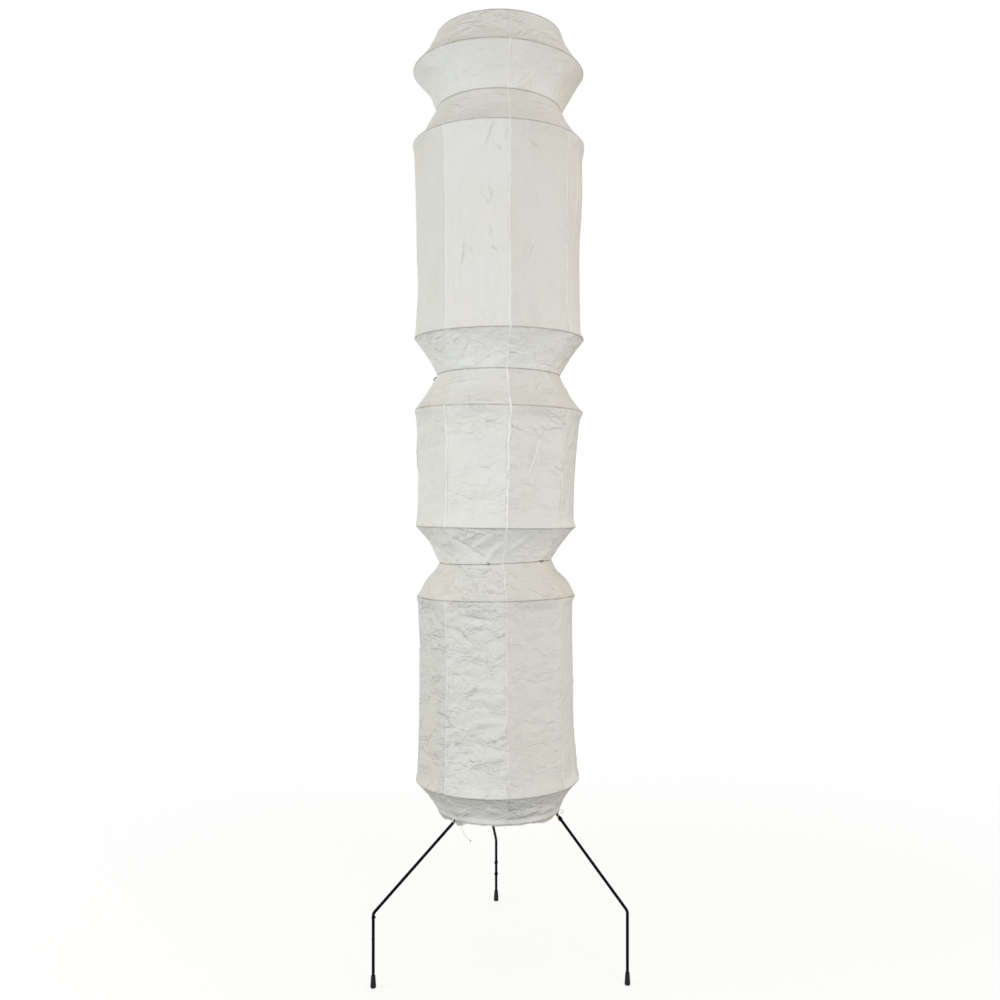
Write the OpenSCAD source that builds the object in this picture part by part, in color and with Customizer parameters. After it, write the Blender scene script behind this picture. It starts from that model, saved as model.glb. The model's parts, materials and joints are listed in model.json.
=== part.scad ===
// Paper lantern floor lamp: a tall shade of pleated white paper gores on wire rings, hung from
// a stem inside it, over three thin bent legs. Millimetres, +Z up. The origin is where the
// lamp's axis meets the floor; the side shown in most pictures faces -Y.

/* [Legs] */
// Radius of the circle that the three feet stand on
foot_r = 288; // [240:1:320]
// Turn of the tripod about the lamp's axis, in degrees
stand_turn = 1.4; // [-10:0.1:10]
// Diameter of the leg rod
leg_d = 6; // [5:0.5:8]
// Height of the knee, where the upright rod turns inwards
knee_h = 145; // [110:1:180]
// Slope of the rod between its two bends, in degrees
leg_slope = 43.5; // [38:0.5:50]
// Level distance from a foot to the spigot at the top of its leg
leg_run = 255; // [235:1:262]
// Angle by which each leg points past the lamp's axis, in degrees
leg_skew = 9; // [6:0.5:11]
// Radius of the rod's centre line in a bend
leg_bend_r = 12; // [8:1:20]
// Diameter of a foot tip where it stands
tip_d = 11; // [9.5:0.5:16]
// Height of a foot tip
tip_h = 24; // [15:1:40]
// Rubber under the end of the rod
tip_floor = 3; // [2:0.5:6]
// Rubber round the rod at the tip's mouth
tip_wall = 1.1; // [0.8:0.1:1.6]

/* [Base] */
// Plate beyond the leg sockets
plate_rim = 8; // [4:0.5:30]
// Thickness of the base plate
plate_t = 3; // [2:0.5:6]
// Length of each leg socket under the plate
socket_len = 34; // [24:1:50]
// Wall of a leg socket
socket_wall = 3; // [2:0.5:4]
// Height of a spigot's upright part below its socket
socket_drop = 10; // [8:1:20]
// Height of the boss that holds the stem
boss_h = 30; // [20:1:50]
// Wall of the boss, of the collars and of the stem coupler
collar_wall = 4; // [3:0.5:6]
// Bore of the cord bush
bush_bore = 7; // [5:0.5:7.5]
// Wall of the cord bush in the plate
bush_wall = 1.2; // [0.8:0.1:1.5]
// Width of the bush's flange under the plate
bush_flange = 3; // [2:0.5:5]

/* [Stem] */
// Diameter of the stem tubes
stem_d = 12; // [12:0.5:16]
// Wall of the stem tubes
stem_wall = 1; // [0.8:0.1:1.2]
// Length of the lower stem tube
lower_stem_len = 640; // [500:5:800]
// Length of the coupler between the two stem tubes
coupler_len = 60; // [40:1:90]
// Diameter of a clamp screw's shank
screw_d = 4; // [3:0.5:5]
// Diameter of a clamp screw's head
screw_head_d = 7; // [6:0.5:9]
// Height of a clamp screw's head
screw_head_h = 3; // [2:0.5:4]

/* [Top spider] */
// Diameter of the three arms that carry the top ring
spider_arm_d = 4; // [3:0.5:6]
// Height of the collar on the stem's top
spider_collar_h = 20; // [16:1:40]
// Thickness of the cap that closes the collar
spider_cap_t = 2; // [1.5:0.5:5]
// Turn of the first arm about the lamp's axis, in degrees
spider_turn = 30; // [0:1:119]

/* [Ring radii] */
// Paper radius at the top ring
top_r = 133; // [120:1:150]
// Paper radius at the crown ring
crown_r = 178; // [160:1:200]
// Paper radius at the neck ring
neck_r = 131; // [118:1:150]
// Paper radius at the shoulder ring, the top of the upper barrel
shoulder_r = 180; // [160:1:200]
// Paper radius at the bottom of the upper barrel
upper_r = 177; // [160:1:200]
// Paper radius at the upper waist
upper_waist_r = 129; // [118:1:150]
// Paper radius at the top of the middle barrel
middle_top_r = 177; // [160:1:200]
// Paper radius at the bottom of the middle barrel
middle_r = 167; // [155:1:200]
// Paper radius at the lower waist
lower_waist_r = 117; // [112:1:145]
// Paper radius at the top of the lower barrel
lower_top_r = 166; // [155:1:200]
// Paper radius at the bottom of the lower barrel
lower_r = 171; // [155:1:200]
// Paper radius at the hem
hem_r = 128; // [120:1:145]

/* [Paper heights] */
// Height of the paper from the top ring to the crown ring
cap_h = 76; // [60:1:100]
// Height from the crown ring to the neck ring
crown_h = 80; // [60:1:100]
// Height from the neck ring to the shoulder ring
shoulder_h = 76; // [60:1:100]
// Height of the upper barrel
upper_h = 404; // [300:1:450]
// Height from the upper barrel to the upper waist
upper_taper_h = 75; // [60:1:100]
// Height from the upper waist to the middle barrel
middle_flare_h = 76; // [60:1:100]
// Height of the middle barrel
middle_h = 241; // [180:1:300]
// Height from the middle barrel to the lower waist
middle_taper_h = 72; // [60:1:100]
// Height from the lower waist to the lower barrel
lower_flare_h = 71; // [60:1:100]
// Height of the lower barrel
lower_h = 383; // [300:1:450]
// Height from the lower barrel to the hem
skirt_h = 62; // [50:1:90]

/* [Paper] */
// Number of gores round the shade
gores = 8; // [8:1:12]
// Angle of the first seam, in degrees from +X
seam_turn = 7.5; // [0:0.5:44]
// Thickness of the paper
paper_t = 0.4; // [0.3:0.1:1]
// Inward draw of a barrel's seams at mid-height
barrel_draw = 6; // [0:0.5:12]
// Inward draw of a cone's seams at mid-height
cone_draw = 2; // [0:0.5:5]
// How flat a barrel's gores are at mid-height, from 0 for round to 1 for flat
barrel_flat = 1; // [0:0.05:1]
// How flat a cone's gores are at mid-height, from 0 for round to 1 for flat
cone_flat = 0.35; // [0:0.05:0.6]
// Diameter of the ring wire
wire_d = 2.5; // [2:0.1:4]
// Diameter of a knot of thread under the hem ring
knot_d = 3.5; // [2.5:0.1:5]
// Length of a knot
knot_len = 6; // [4:0.5:10]
// Diameter of the thread
thread_d = 1; // [0.6:0.1:1.5]
// Length of a knot's hanging tail
tail_len = 12; // [6:1:25]

/* [Lampholders] */
// Height of the lower arm above the base plate
lower_arm_h = 90; // [60:1:150]
// Height of the upper arm above the base plate
upper_arm_h = 970; // [900:1:1050]
// Distance from the stem's axis to a bulb's axis
arm_reach = 46; // [44:1:60]
// Diameter of the arm tube
arm_d = 8; // [7:0.5:10]
// Bore of the arm tube
arm_bore = 5; // [4:0.5:5.5]
// Radius of the arm tube's centre line in its bend
arm_bend_r = 7; // [5:0.5:10]
// Height of the collar that grips the stem
arm_collar_h = 16; // [14:1:24]
// Height of an arm's upright nipple above the arm's centre line
nipple_h = 18; // [16:1:28]
// Outer diameter of a lampholder
holder_d = 39; // [36:0.5:44]
// Height of a lampholder
holder_h = 50; // [46:1:60]
// Thickness of a lampholder's floor
holder_floor = 5; // [4:0.5:8]
// Height of the ceramic core on the lampholder's floor
core_h = 9; // [7:0.5:12]
// Wall of the brass thread shell
shell_wall = 0.6; // [0.4:0.1:1]
// Height of the thread shell
shell_h = 24; // [18:1:28]
// Diameter of the centre contact
contact_d = 9; // [7:0.5:12]
// Thickness of the centre contact
contact_t = 1.5; // [1:0.1:2]

/* [Bulbs] */
// Diameter of a bulb's screw cap
cap_d = 26.4; // [25:0.1:27]
// Height of a bulb's screw cap
cap_len = 25; // [22:0.5:30]
// Wall of the screw cap
cap_wall = 0.8; // [0.5:0.1:1.2]
// Diameter of the glass
bulb_d = 60; // [45:1:62]
// Height from the cap to the middle of the glass ball
bulb_rise = 50; // [46:1:60]
// Thickness of the glass
glass_t = 1; // [0.6:0.1:1.5]

/* [Fits] */
// Radial clearance of a tube or rod in its socket or collar
fit = 0.1; // [0.05:0.05:0.2]
// Gap between a ring's wire and the paper round it
ring_gap = 0.35; // [0.3:0.05:0.6]
// Gap between the papers at a seam and at a ring
seam_gap = 0.2; // [0.15:0.05:0.5]
// Gap between a ring's wire and what it rests on
rest_gap = 0.35; // [0.3:0.05:0.6]
// Gap under a bulb's centre contact
contact_gap = 0.3; // [0.2:0.05:0.5]

/* [Hidden] */

$fn = 64;

BLACK = "#1b1b1c";
STEEL = "#b9bcc0";
BRASS = "#c9a24a";
PAPER = "#e6e5df";
WIRE = "#8d8c86";
THREAD = "#d8d5cb";

// The rings from the top down, and the papers between them
ring_rs = [top_r, crown_r, neck_r, shoulder_r, upper_r, upper_waist_r, middle_top_r,
    middle_r, lower_waist_r, lower_top_r, lower_r, hem_r];
paper_hs = [cap_h, crown_h, shoulder_h, upper_h, upper_taper_h, middle_flare_h, middle_h,
    middle_taper_h, lower_flare_h, lower_h, skirt_h];
barrels = [3, 6, 9];
last_ring = len(ring_rs) - 1;

half_gore = 180 / gores;
gore_sag = 1 - cos(half_gore);
// Flat facets across a gore
cols = 4;

function is_barrel(k) = len(search(k, barrels)) > 0;
function draw_of(k) = is_barrel(k) ? barrel_draw : cone_draw;
function flat_of(k) = is_barrel(k) ? barrel_flat : cone_flat;
// How fast paper k falls inwards, going away from its ring of radius r to the one of radius s
function fall(k, r, s) = (r - s + 4 * (draw_of(k) + flat_of(k) * gore_sag * r)) / paper_hs[k];
function steepest(i) = max(0,
    i > 0 ? fall(i - 1, ring_rs[i], ring_rs[i - 1]) : 0,
    i < last_ring ? fall(i, ring_rs[i], ring_rs[i + 1]) : 0);
// Radius of ring i's wire centre, inside the steeper of its two papers and their facets
function wire_r(i) = ring_rs[i] * cos(half_gore / cols)
    - (paper_t + ring_gap + wire_d / 2) * sqrt(1 + pow(steepest(i), 2));

// Where a leg passes the hem ring: its level distance from the foot, and its slope from there
// towards the axis
hem_run = foot_r * cos(leg_skew) - sqrt(pow(wire_r(last_ring), 2) - pow(foot_r * sin(leg_skew), 2));
hem_turn = asin(foot_r * sin(leg_skew) / wire_r(last_ring));
hem_slope = atan(tan(leg_slope) / cos(hem_turn));
hem_z = knee_h + hem_run * tan(leg_slope)
    + ((leg_d + wire_d) / 2 + rest_gap) / cos(hem_slope);

function paper_sum(k) = k > last_ring - 1 ? 0 : paper_hs[k] + paper_sum(k + 1);
function ring_z(i) = hem_z + paper_sum(i);

// The stand's levels
spigot_z = knee_h + leg_run * tan(leg_slope);
plate_z = spigot_z + socket_drop + socket_len;
stem_z = plate_z + plate_t;
joint_z = stem_z + lower_stem_len;
spider_arm_z = ring_z(0) - (wire_d + spider_arm_d) / 2 - rest_gap;
stem_top_z = spider_arm_z + spider_arm_d / 2;
spider_reach = wire_r(0) + wire_d / 2;

collar_r = stem_d / 2 + fit + collar_wall;
socket_r = leg_d / 2 + fit + socket_wall;
// Distance of the leg sockets from the lamp's axis, and the plate that holds them
socket_reach = norm([foot_r - leg_run * cos(leg_skew), leg_run * sin(leg_skew)]);
plate_r = socket_reach + socket_r + plate_rim;
bush_r = bush_bore / 2 + bush_wall;
spider_screw_z = stem_top_z + spider_cap_t - (spider_collar_h + spider_arm_d) / 2;
// A lead's diameter, its place beside the stem's axis and its bend out of the stem
lead_d = 2.5;
lead_x = 2.2;
lead_bend_r = 3;
// Where the leads start, above the bush
lead_z = stem_z + 4;
// Small edges: round a foot tip, the taper and floor under a bulb's cap, the glass in the cap
tip_edge = 1;
cap_taper = 4;
cap_floor = 5;
glass_seat = 3;
// Straight glass above the lampholder's rim
neck_over = 2;
// Elevation on the glass ball, below its middle, from which the neck tapers
neck_angle = 20;

leg_turns = [stand_turn + 210, stand_turn + 330, stand_turn + 90];

// The place of a foot, with -X towards the top of its leg
module at_leg(i) {
    rotate([0, 0, leg_turns[i]])
        translate([foot_r, 0, 0])
            rotate([0, 0, -leg_skew])
                children();
}

module at_sockets() {
    for (i = [0:2]) at_leg(i) translate([-leg_run, 0, plate_z - socket_len]) children();
}

// A bend of radius r in a rod, from straight up towards -X, and a straight length after it. The
// children go on from its end.
module bend_on(d, r, angle, length) {
    translate([-r, 0, 0]) {
        rotate([90, 0, 0]) rotate_extrude(angle = angle) translate([r, 0]) circle(d = d);
        rotate([0, -angle, 0]) translate([r, 0, 0]) {
            cylinder(d = d, h = length);
            translate([0, 0, length]) children();
        }
    }
}

module leg(i) {
    bend = 90 - leg_slope;
    setback = leg_bend_r * tan(bend / 2);
    upright = knee_h - setback - tip_floor;
    slant = leg_run / cos(leg_slope) - 2 * setback;
    spigot = plate_z - spigot_z - setback;
    color(BLACK) at_leg(i) translate([0, 0, tip_floor]) {
        cylinder(d = leg_d, h = upright);
        translate([0, 0, upright])
            bend_on(leg_d, leg_bend_r, bend, slant)
                mirror([1, 0, 0]) bend_on(leg_d, leg_bend_r, bend, spigot);
    }
}

// A rubber tip, tapered towards its mouth
module foot(i) {
    mouth_r = leg_d / 2 + fit + tip_wall;
    shoulder = tip_h / 4;
    color(BLACK) at_leg(i) rotate_extrude()
        polygon([[0, 0], [tip_d / 2 - tip_edge, 0], [tip_d / 2, tip_edge], [tip_d / 2, shoulder],
            [mouth_r, tip_h], [leg_d / 2 + fit, tip_h], [leg_d / 2 + fit, tip_floor],
            [0, tip_floor]]);
}

// The radial hole for a clamp screw, through a collar's wall of outer radius r
module screw_hole(r) {
    rotate([0, 90, 0]) cylinder(d = screw_d + 2 * fit, h = r + 1);
}

// A screw through a collar from inner radius a to outer radius b
module clamp_screw(a, b) {
    rotate([0, 90, 0]) {
        translate([0, 0, a]) cylinder(d = screw_d, h = b - a + screw_head_h);
        translate([0, 0, b]) cylinder(d = screw_head_d, h = screw_head_h);
    }
}

module base_hub() {
    color(BLACK) difference() {
        union() {
            translate([0, 0, plate_z]) cylinder(r = plate_r, h = plate_t);
            translate([0, 0, plate_z]) cylinder(r = collar_r, h = plate_t + boss_h);
            at_sockets() cylinder(r = socket_r, h = socket_len + plate_t);
        }
        translate([0, 0, stem_z]) cylinder(r = stem_d / 2 + fit, h = boss_h + 1);
        translate([0, 0, plate_z - 1]) cylinder(r = bush_r + fit, h = plate_t + 2);
        at_sockets() {
            translate([0, 0, -1]) cylinder(r = leg_d / 2 + fit, h = socket_len + 1);
            translate([0, 0, socket_len / 2]) screw_hole(socket_r);
        }
        translate([0, 0, stem_z + boss_h / 2]) screw_hole(collar_r);
    }
}

// The bush in the plate's middle hole, which the mains cord would pass through
module cord_bush() {
    color("#2a2a2a") difference() {
        union() {
            translate([0, 0, plate_z - bush_flange]) cylinder(r = bush_r + bush_flange, h = bush_flange);
            translate([0, 0, plate_z - bush_flange]) cylinder(r = bush_r, h = bush_flange + plate_t);
        }
        translate([0, 0, plate_z - bush_flange - 1])
            cylinder(d = bush_bore, h = plate_t + bush_flange + 2);
    }
}

module stem_tube(low, high) {
    difference() {
        translate([0, 0, low]) cylinder(d = stem_d, h = high - low);
        translate([0, 0, low - 1]) cylinder(r = stem_d / 2 - stem_wall, h = high - low + 2);
    }
}

// The hole in the stem by which a lead goes out into the arm at height z
module lead_hole(z, turn) {
    rotate([0, 0, turn]) translate([0, 0, z]) rotate([0, 90, 0]) cylinder(d = arm_bore, h = stem_d);
}

module lower_stem() {
    color(BLACK) difference() {
        stem_tube(stem_z, joint_z);
        lead_hole(stem_z + lower_arm_h, 0);
    }
}

module upper_stem() {
    color(BLACK) difference() {
        stem_tube(joint_z, stem_top_z);
        lead_hole(stem_z + upper_arm_h, 180);
    }
}

module stem_coupler() {
    color(BLACK) translate([0, 0, joint_z - coupler_len / 2]) difference() {
        cylinder(r = collar_r, h = coupler_len);
        translate([0, 0, -1]) cylinder(r = stem_d / 2 + fit, h = coupler_len + 2);
        for (share = [0.25, 0.75]) translate([0, 0, coupler_len * share]) screw_hole(collar_r);
    }
}

// The cap on the stem's top with three arms, on whose ends the top ring rests
module top_spider() {
    color(BLACK) difference() {
        union() {
            translate([0, 0, stem_top_z + spider_cap_t - spider_collar_h])
                cylinder(r = collar_r, h = spider_collar_h);
            for (i = [0:2]) rotate([0, 0, spider_turn + 120 * i])
                translate([collar_r - 1, 0, spider_arm_z])
                    rotate([0, 90, 0]) cylinder(d = spider_arm_d, h = spider_reach - collar_r + 1);
        }
        translate([0, 0, stem_top_z - spider_collar_h]) cylinder(r = stem_d / 2 + fit, h = spider_collar_h);
        rotate([0, 0, spider_turn + 60]) translate([0, 0, spider_screw_z]) screw_hole(collar_r);
    }
}

// All clamp screws: sockets, boss, coupler, spider and the two arm collars
module clamp_screws() {
    color(STEEL) {
        at_sockets() translate([0, 0, socket_len / 2]) clamp_screw(leg_d / 2 + fit, socket_r);
        translate([0, 0, stem_z + boss_h / 2]) stem_screw();
        for (side = [-0.25, 0.25]) translate([0, 0, joint_z + coupler_len * side]) stem_screw();
        rotate([0, 0, spider_turn + 60]) translate([0, 0, spider_screw_z]) stem_screw();
        translate([0, 0, stem_z + lower_arm_h]) rotate([0, 0, 180]) stem_screw();
        translate([0, 0, stem_z + upper_arm_h]) stem_screw();
    }
}

module stem_screw() {
    clamp_screw(stem_d / 2 + fit, collar_r);
}

// The insulated leads in the stem, each out through its arm to its lampholder
module inner_leads() {
    color("#777777") {
        lead(stem_z + lower_arm_h, 0);
        lead(stem_z + upper_arm_h, 180);
    }
}

module lead(z, turn) {
    rise = z - lead_bend_r - lead_z;
    level = arm_reach - arm_bend_r - lead_x - lead_bend_r;
    tail = nipple_h + core_h / 2 - 1 - arm_bend_r;
    rotate([0, 0, turn]) {
        translate([lead_x, 0, lead_z]) {
            cylinder(d = lead_d, h = rise);
            translate([0, 0, rise])
                mirror([1, 0, 0]) bend_on(lead_d, lead_bend_r, 90, level)
                    mirror([1, 0, 0]) bend_on(lead_d, arm_bend_r, 90, tail);
        }
    }
}

// A tube from the stem's axis, level along +X and then up
module arm_tube(d, nipple) {
    level = arm_reach - arm_bend_r;
    rotate([0, 90, 0]) {
        cylinder(d = d, h = level);
        translate([0, 0, level]) bend_on(d, arm_bend_r, 90, nipple);
    }
}

// A collar on the stem with a tube arm, whose nipple holds up a lampholder
module holder_arm(z, turn) {
    nipple = nipple_h - arm_bend_r;
    color(BLACK) translate([0, 0, z]) rotate([0, 0, turn]) difference() {
        union() {
            translate([0, 0, -arm_collar_h / 2]) cylinder(r = collar_r, h = arm_collar_h);
            arm_tube(arm_d, nipple);
        }
        translate([0, 0, -arm_collar_h]) cylinder(r = stem_d / 2 + fit, h = 2 * arm_collar_h);
        arm_tube(arm_bore, nipple + 1);
        rotate([0, 0, 180]) screw_hole(collar_r);
    }
}

// A lampholder's pieces are placed from its floor, which rests on the arm tube's shoulder
floor_rise = nipple_h - holder_floor;
shell_r = cap_d / 2 + fit + shell_wall;
cup_r = shell_r + fit;
cap_bottom = holder_floor + core_h + contact_t + contact_gap;

module at_holder(z, turn) {
    rotate([0, 0, turn]) translate([arm_reach, 0, z + floor_rise]) children();
}

module holder(z, turn) {
    color("#eceae4") at_holder(z, turn) difference() {
        cylinder(d = holder_d, h = holder_h);
        translate([0, 0, holder_floor]) cylinder(r = cup_r, h = holder_h);
        translate([0, 0, -1]) cylinder(r = arm_d / 2 + fit, h = holder_floor + 2);
    }
}

module holder_core(z, turn) {
    color("#f2f0ea") at_holder(z, turn) translate([0, 0, holder_floor]) difference() {
        cylinder(r = shell_r, h = core_h);
        translate([0, 0, -1]) cylinder(d = arm_bore, h = core_h / 2 + 1);
    }
}

module thread_shell(z, turn) {
    color(BRASS) at_holder(z, turn) translate([0, 0, holder_floor + core_h]) difference() {
        cylinder(r = shell_r, h = shell_h);
        translate([0, 0, -1]) cylinder(r = shell_r - shell_wall, h = shell_h + 2);
    }
}

module contact(z, turn) {
    color(BRASS) at_holder(z, turn) translate([0, 0, holder_floor + core_h])
        cylinder(d = contact_d, h = contact_t);
}

// A bulb's screw cap: a thin cup with a round button under it
module bulb_cap(z, turn) {
    color(STEEL) at_holder(z, turn) translate([0, 0, cap_bottom]) rotate_extrude()
        polygon([[0, 0], [contact_d / 2, 0], [cap_d / 2, cap_taper], [cap_d / 2, cap_len],
            [cap_d / 2 - cap_wall, cap_len], [cap_d / 2 - cap_wall, cap_floor], [0, cap_floor]]);
}

// Half of a bulb's outline, a ball on a tapering neck that starts at height low, inset by t
module bulb_outline(t, low) {
    neck = cap_d / 2 - cap_wall - fit - t;
    ball = bulb_d / 2 - t;
    straight = holder_h - cap_bottom - cap_len + neck_over;
    intersection() {
        union() {
            translate([0, bulb_rise]) circle(r = ball);
            polygon([[0, low], [neck, low], [neck, straight],
                [ball * cos(neck_angle), bulb_rise - ball * sin(neck_angle)], [0, bulb_rise]]);
        }
        translate([0, -bulb_d]) square([bulb_d, 3 * bulb_d]);
    }
}

module bulb_glass(z, turn) {
    color("white") at_holder(z, turn) translate([0, 0, cap_bottom + cap_len]) rotate_extrude()
        difference() {
            bulb_outline(0, -glass_seat);
            bulb_outline(glass_t, -glass_seat - 1);
        }
}

module ring(i) {
    color(WIRE) translate([0, 0, ring_z(i)]) rotate_extrude($fn = 128)
        translate([wire_r(i), 0]) circle(d = wire_d, $fn = 24);
}

// The paper's outer surface: the radius at share v of the way down paper k, at angle a from the
// middle of a gore. Each gore is round at its rings and drawn in and flatter between them.
function belly(v) = 4 * v * (1 - v);
function paper_r(k, v, a) =
    let (seam = ring_rs[k] + (ring_rs[k + 1] - ring_rs[k]) * v - draw_of(k) * belly(v))
    seam * (1 - flat_of(k) * belly(v) * (1 - cos(half_gore) / cos(a)));

// Eight gores of paper, each a thin closed sheet between ring k and the ring below it
module paper(k) {
    rows = is_barrel(k) ? 4 : 2;
    slope = (ring_rs[k + 1] - ring_rs[k]) / paper_hs[k];
    inset = paper_t * sqrt(1 + slope * slope);
    span = half_gore - 90 * seam_gap / (PI * min(ring_rs[k], ring_rs[k + 1]));
    top = ring_z(k) - seam_gap / 2;
    height = paper_hs[k] - seam_gap;
    layer = (cols + 1) * (rows + 1);
    points = [for (t = [0, inset]) for (j = [0:rows]) for (i = [0:cols])
        let (a = span * (2 * i / cols - 1), v = j / rows, r = paper_r(k, v, a) - t)
        [r * cos(a), r * sin(a), top - height * v]];
    function at(i, j) = j * (cols + 1) + i;
    function quad(a, b, c, d) = [[a, b, c], [a, c, d]];
    skin = [for (j = [0:rows - 1]) for (i = [0:cols - 1])
        quad(at(i, j), at(i + 1, j), at(i + 1, j + 1), at(i, j + 1))];
    lining = [for (j = [0:rows - 1]) for (i = [0:cols - 1])
        quad(at(i, j) + layer, at(i, j + 1) + layer, at(i + 1, j + 1) + layer, at(i + 1, j) + layer)];
    ends = [for (i = [0:cols - 1])
        each [quad(at(i, 0), at(i, 0) + layer, at(i + 1, 0) + layer, at(i + 1, 0)),
            quad(at(i + 1, rows), at(i + 1, rows) + layer, at(i, rows) + layer, at(i, rows))]];
    sides = [for (j = [0:rows - 1])
        each [quad(at(0, j) + layer, at(0, j), at(0, j + 1), at(0, j + 1) + layer),
            quad(at(cols, j), at(cols, j) + layer, at(cols, j + 1) + layer, at(cols, j + 1))]];
    faces = [for (part = [skin, lining, ends, sides]) for (q = part) each q];
    color(PAPER) for (n = [0:gores - 1])
        rotate([0, 0, seam_turn + (2 * n + 1) * half_gore]) polyhedron(points, faces);
}

// A knot of thread under the hem ring beside each leg, with its tail hanging
module hem_knots() {
    r = wire_r(last_ring);
    arc = 180 * knot_len / (PI * r);
    past_leg = 180 * (leg_d + knot_len) / (PI * r);
    z = hem_z - (wire_d + knot_d) / 2 - fit;
    color(THREAD) for (i = [0:2])
        rotate([0, 0, leg_turns[i] + hem_turn - leg_skew + past_leg]) {
            rotate_extrude(angle = arc) translate([r, z]) circle(d = knot_d);
            rotate([0, 0, arc / 2]) translate([r, 0, z - tail_len]) cylinder(d = thread_d, h = tail_len);
        }
}

lower_z = stem_z + lower_arm_h;
upper_z = stem_z + upper_arm_h;

leg(0);  // leg_left
leg(1);  // leg_right
leg(2);  // leg_rear
foot(0);  // foot_left
foot(1);  // foot_right
foot(2);  // foot_rear
base_hub();
cord_bush();
lower_stem();
stem_coupler();
upper_stem();
top_spider();
clamp_screws();
inner_leads();
holder_arm(lower_z, 0);  // lower_arm
holder(lower_z, 0);  // lower_holder
holder_core(lower_z, 0);  // lower_holder_core
thread_shell(lower_z, 0);  // lower_thread_shell
contact(lower_z, 0);  // lower_contact
bulb_cap(lower_z, 0);  // lower_bulb_cap
bulb_glass(lower_z, 0);  // lower_bulb_glass
holder_arm(upper_z, 180);  // upper_arm
holder(upper_z, 180);  // upper_holder
holder_core(upper_z, 180);  // upper_holder_core
thread_shell(upper_z, 180);  // upper_thread_shell
contact(upper_z, 180);  // upper_contact
bulb_cap(upper_z, 180);  // upper_bulb_cap
bulb_glass(upper_z, 180);  // upper_bulb_glass
ring(0);  // ring_top
ring(1);  // ring_crown
ring(2);  // ring_neck
ring(3);  // ring_shoulder
ring(4);  // ring_upper
ring(5);  // ring_upper_waist
ring(6);  // ring_middle_top
ring(7);  // ring_middle
ring(8);  // ring_lower_waist
ring(9);  // ring_lower_top
ring(10);  // ring_lower
ring(11);  // ring_hem
paper(0);  // paper_cap
paper(1);  // paper_crown
paper(2);  // paper_shoulder
paper(3);  // paper_upper
paper(4);  // paper_upper_taper
paper(5);  // paper_middle_flare
paper(6);  // paper_middle
paper(7);  // paper_middle_taper
paper(8);  // paper_lower_flare
paper(9);  // paper_lower
paper(10);  // paper_skirt
hem_knots();
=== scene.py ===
"""The looks of the paper lantern floor lamp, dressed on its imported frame.

Lengths are in millimetres until a mesh is placed, and angles in radians unless a name says
degrees. The lamp's axis is Z, and the side shown faces -Y."""

import json
import math
from collections import namedtuple

import bpy
import numpy as np
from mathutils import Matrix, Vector


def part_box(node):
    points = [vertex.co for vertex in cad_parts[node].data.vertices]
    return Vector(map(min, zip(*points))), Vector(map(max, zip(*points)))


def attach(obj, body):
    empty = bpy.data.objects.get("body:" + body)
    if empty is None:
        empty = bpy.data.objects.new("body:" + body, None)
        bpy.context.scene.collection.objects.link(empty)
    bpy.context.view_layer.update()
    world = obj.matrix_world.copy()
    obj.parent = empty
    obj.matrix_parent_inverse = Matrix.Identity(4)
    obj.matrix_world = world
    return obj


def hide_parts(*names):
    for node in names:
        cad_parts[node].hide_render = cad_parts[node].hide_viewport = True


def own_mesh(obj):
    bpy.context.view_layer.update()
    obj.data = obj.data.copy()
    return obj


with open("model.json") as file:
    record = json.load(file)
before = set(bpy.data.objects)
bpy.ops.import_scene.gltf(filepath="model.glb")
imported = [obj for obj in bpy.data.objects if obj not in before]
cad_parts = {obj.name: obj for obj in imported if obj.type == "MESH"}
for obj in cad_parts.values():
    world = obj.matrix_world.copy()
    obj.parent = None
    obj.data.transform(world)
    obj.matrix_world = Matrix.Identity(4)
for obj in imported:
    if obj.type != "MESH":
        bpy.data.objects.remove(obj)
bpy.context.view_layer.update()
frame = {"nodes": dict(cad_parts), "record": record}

MM = 0.001
TURN = 2 * math.pi
draws = np.random.default_rng(7)

# ---------------------------------------------------------------- the camera

PHOTO_PX = 1000
FOCAL_PX = 1017
SENSOR = 36
CAMERA_AT = (2.1, -2143.5, 944.5)
CAMERA_PITCH_DEG = 0.27


def add_camera():
    data = bpy.data.cameras.new("camera")
    data.sensor_width = SENSOR
    data.lens = FOCAL_PX * SENSOR / PHOTO_PX
    camera = bpy.data.objects.new("camera", data)
    camera.location = Vector(CAMERA_AT) * MM
    camera.rotation_euler = (math.radians(90 + CAMERA_PITCH_DEG), 0, 0)
    bpy.context.scene.collection.objects.link(camera)
    bpy.context.scene.camera = camera


add_camera()

# ---------------------------------------------------------------- shader sums and finishes


class Amount:
    """A number that changes over a surface. Sums on it add Math nodes to its tree."""

    def __init__(self, tree, socket):
        self.tree, self.socket = tree, socket

    def sum(self, operation, *values):
        node = self.tree.add("Math", {"operation": operation}, dict(enumerate(values)))
        return Amount(self.tree, node.outputs[0])

    def __add__(self, other):
        return self.sum("ADD", self, other)

    def __sub__(self, other):
        return self.sum("SUBTRACT", self, other)

    def __rsub__(self, other):
        return self.sum("SUBTRACT", other, self)

    def __mul__(self, other):
        return self.sum("MULTIPLY", self, other)

    def __truediv__(self, other):
        return self.sum("DIVIDE", self, other)

    __radd__ = __add__
    __rmul__ = __mul__

    def away_from(self, level):
        gap = self - level
        return gap.sum("ABSOLUTE", gap)

    def tent(self):
        """1 where this is 0, falling straight to 0 where it is 1 or -1."""
        height = 1 - self.away_from(0)
        return height.sum("MAXIMUM", height, 0)

    def above(self, level, softness):
        """0 below level, 1 above it, with a soft step between."""
        settings = {"interpolation_type": "SMOOTHSTEP"}
        values = {"Value": self, "From Min": level - softness, "From Max": level + softness}
        return Amount(self.tree, self.tree.add("MapRange", settings, values).outputs[0])


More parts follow.
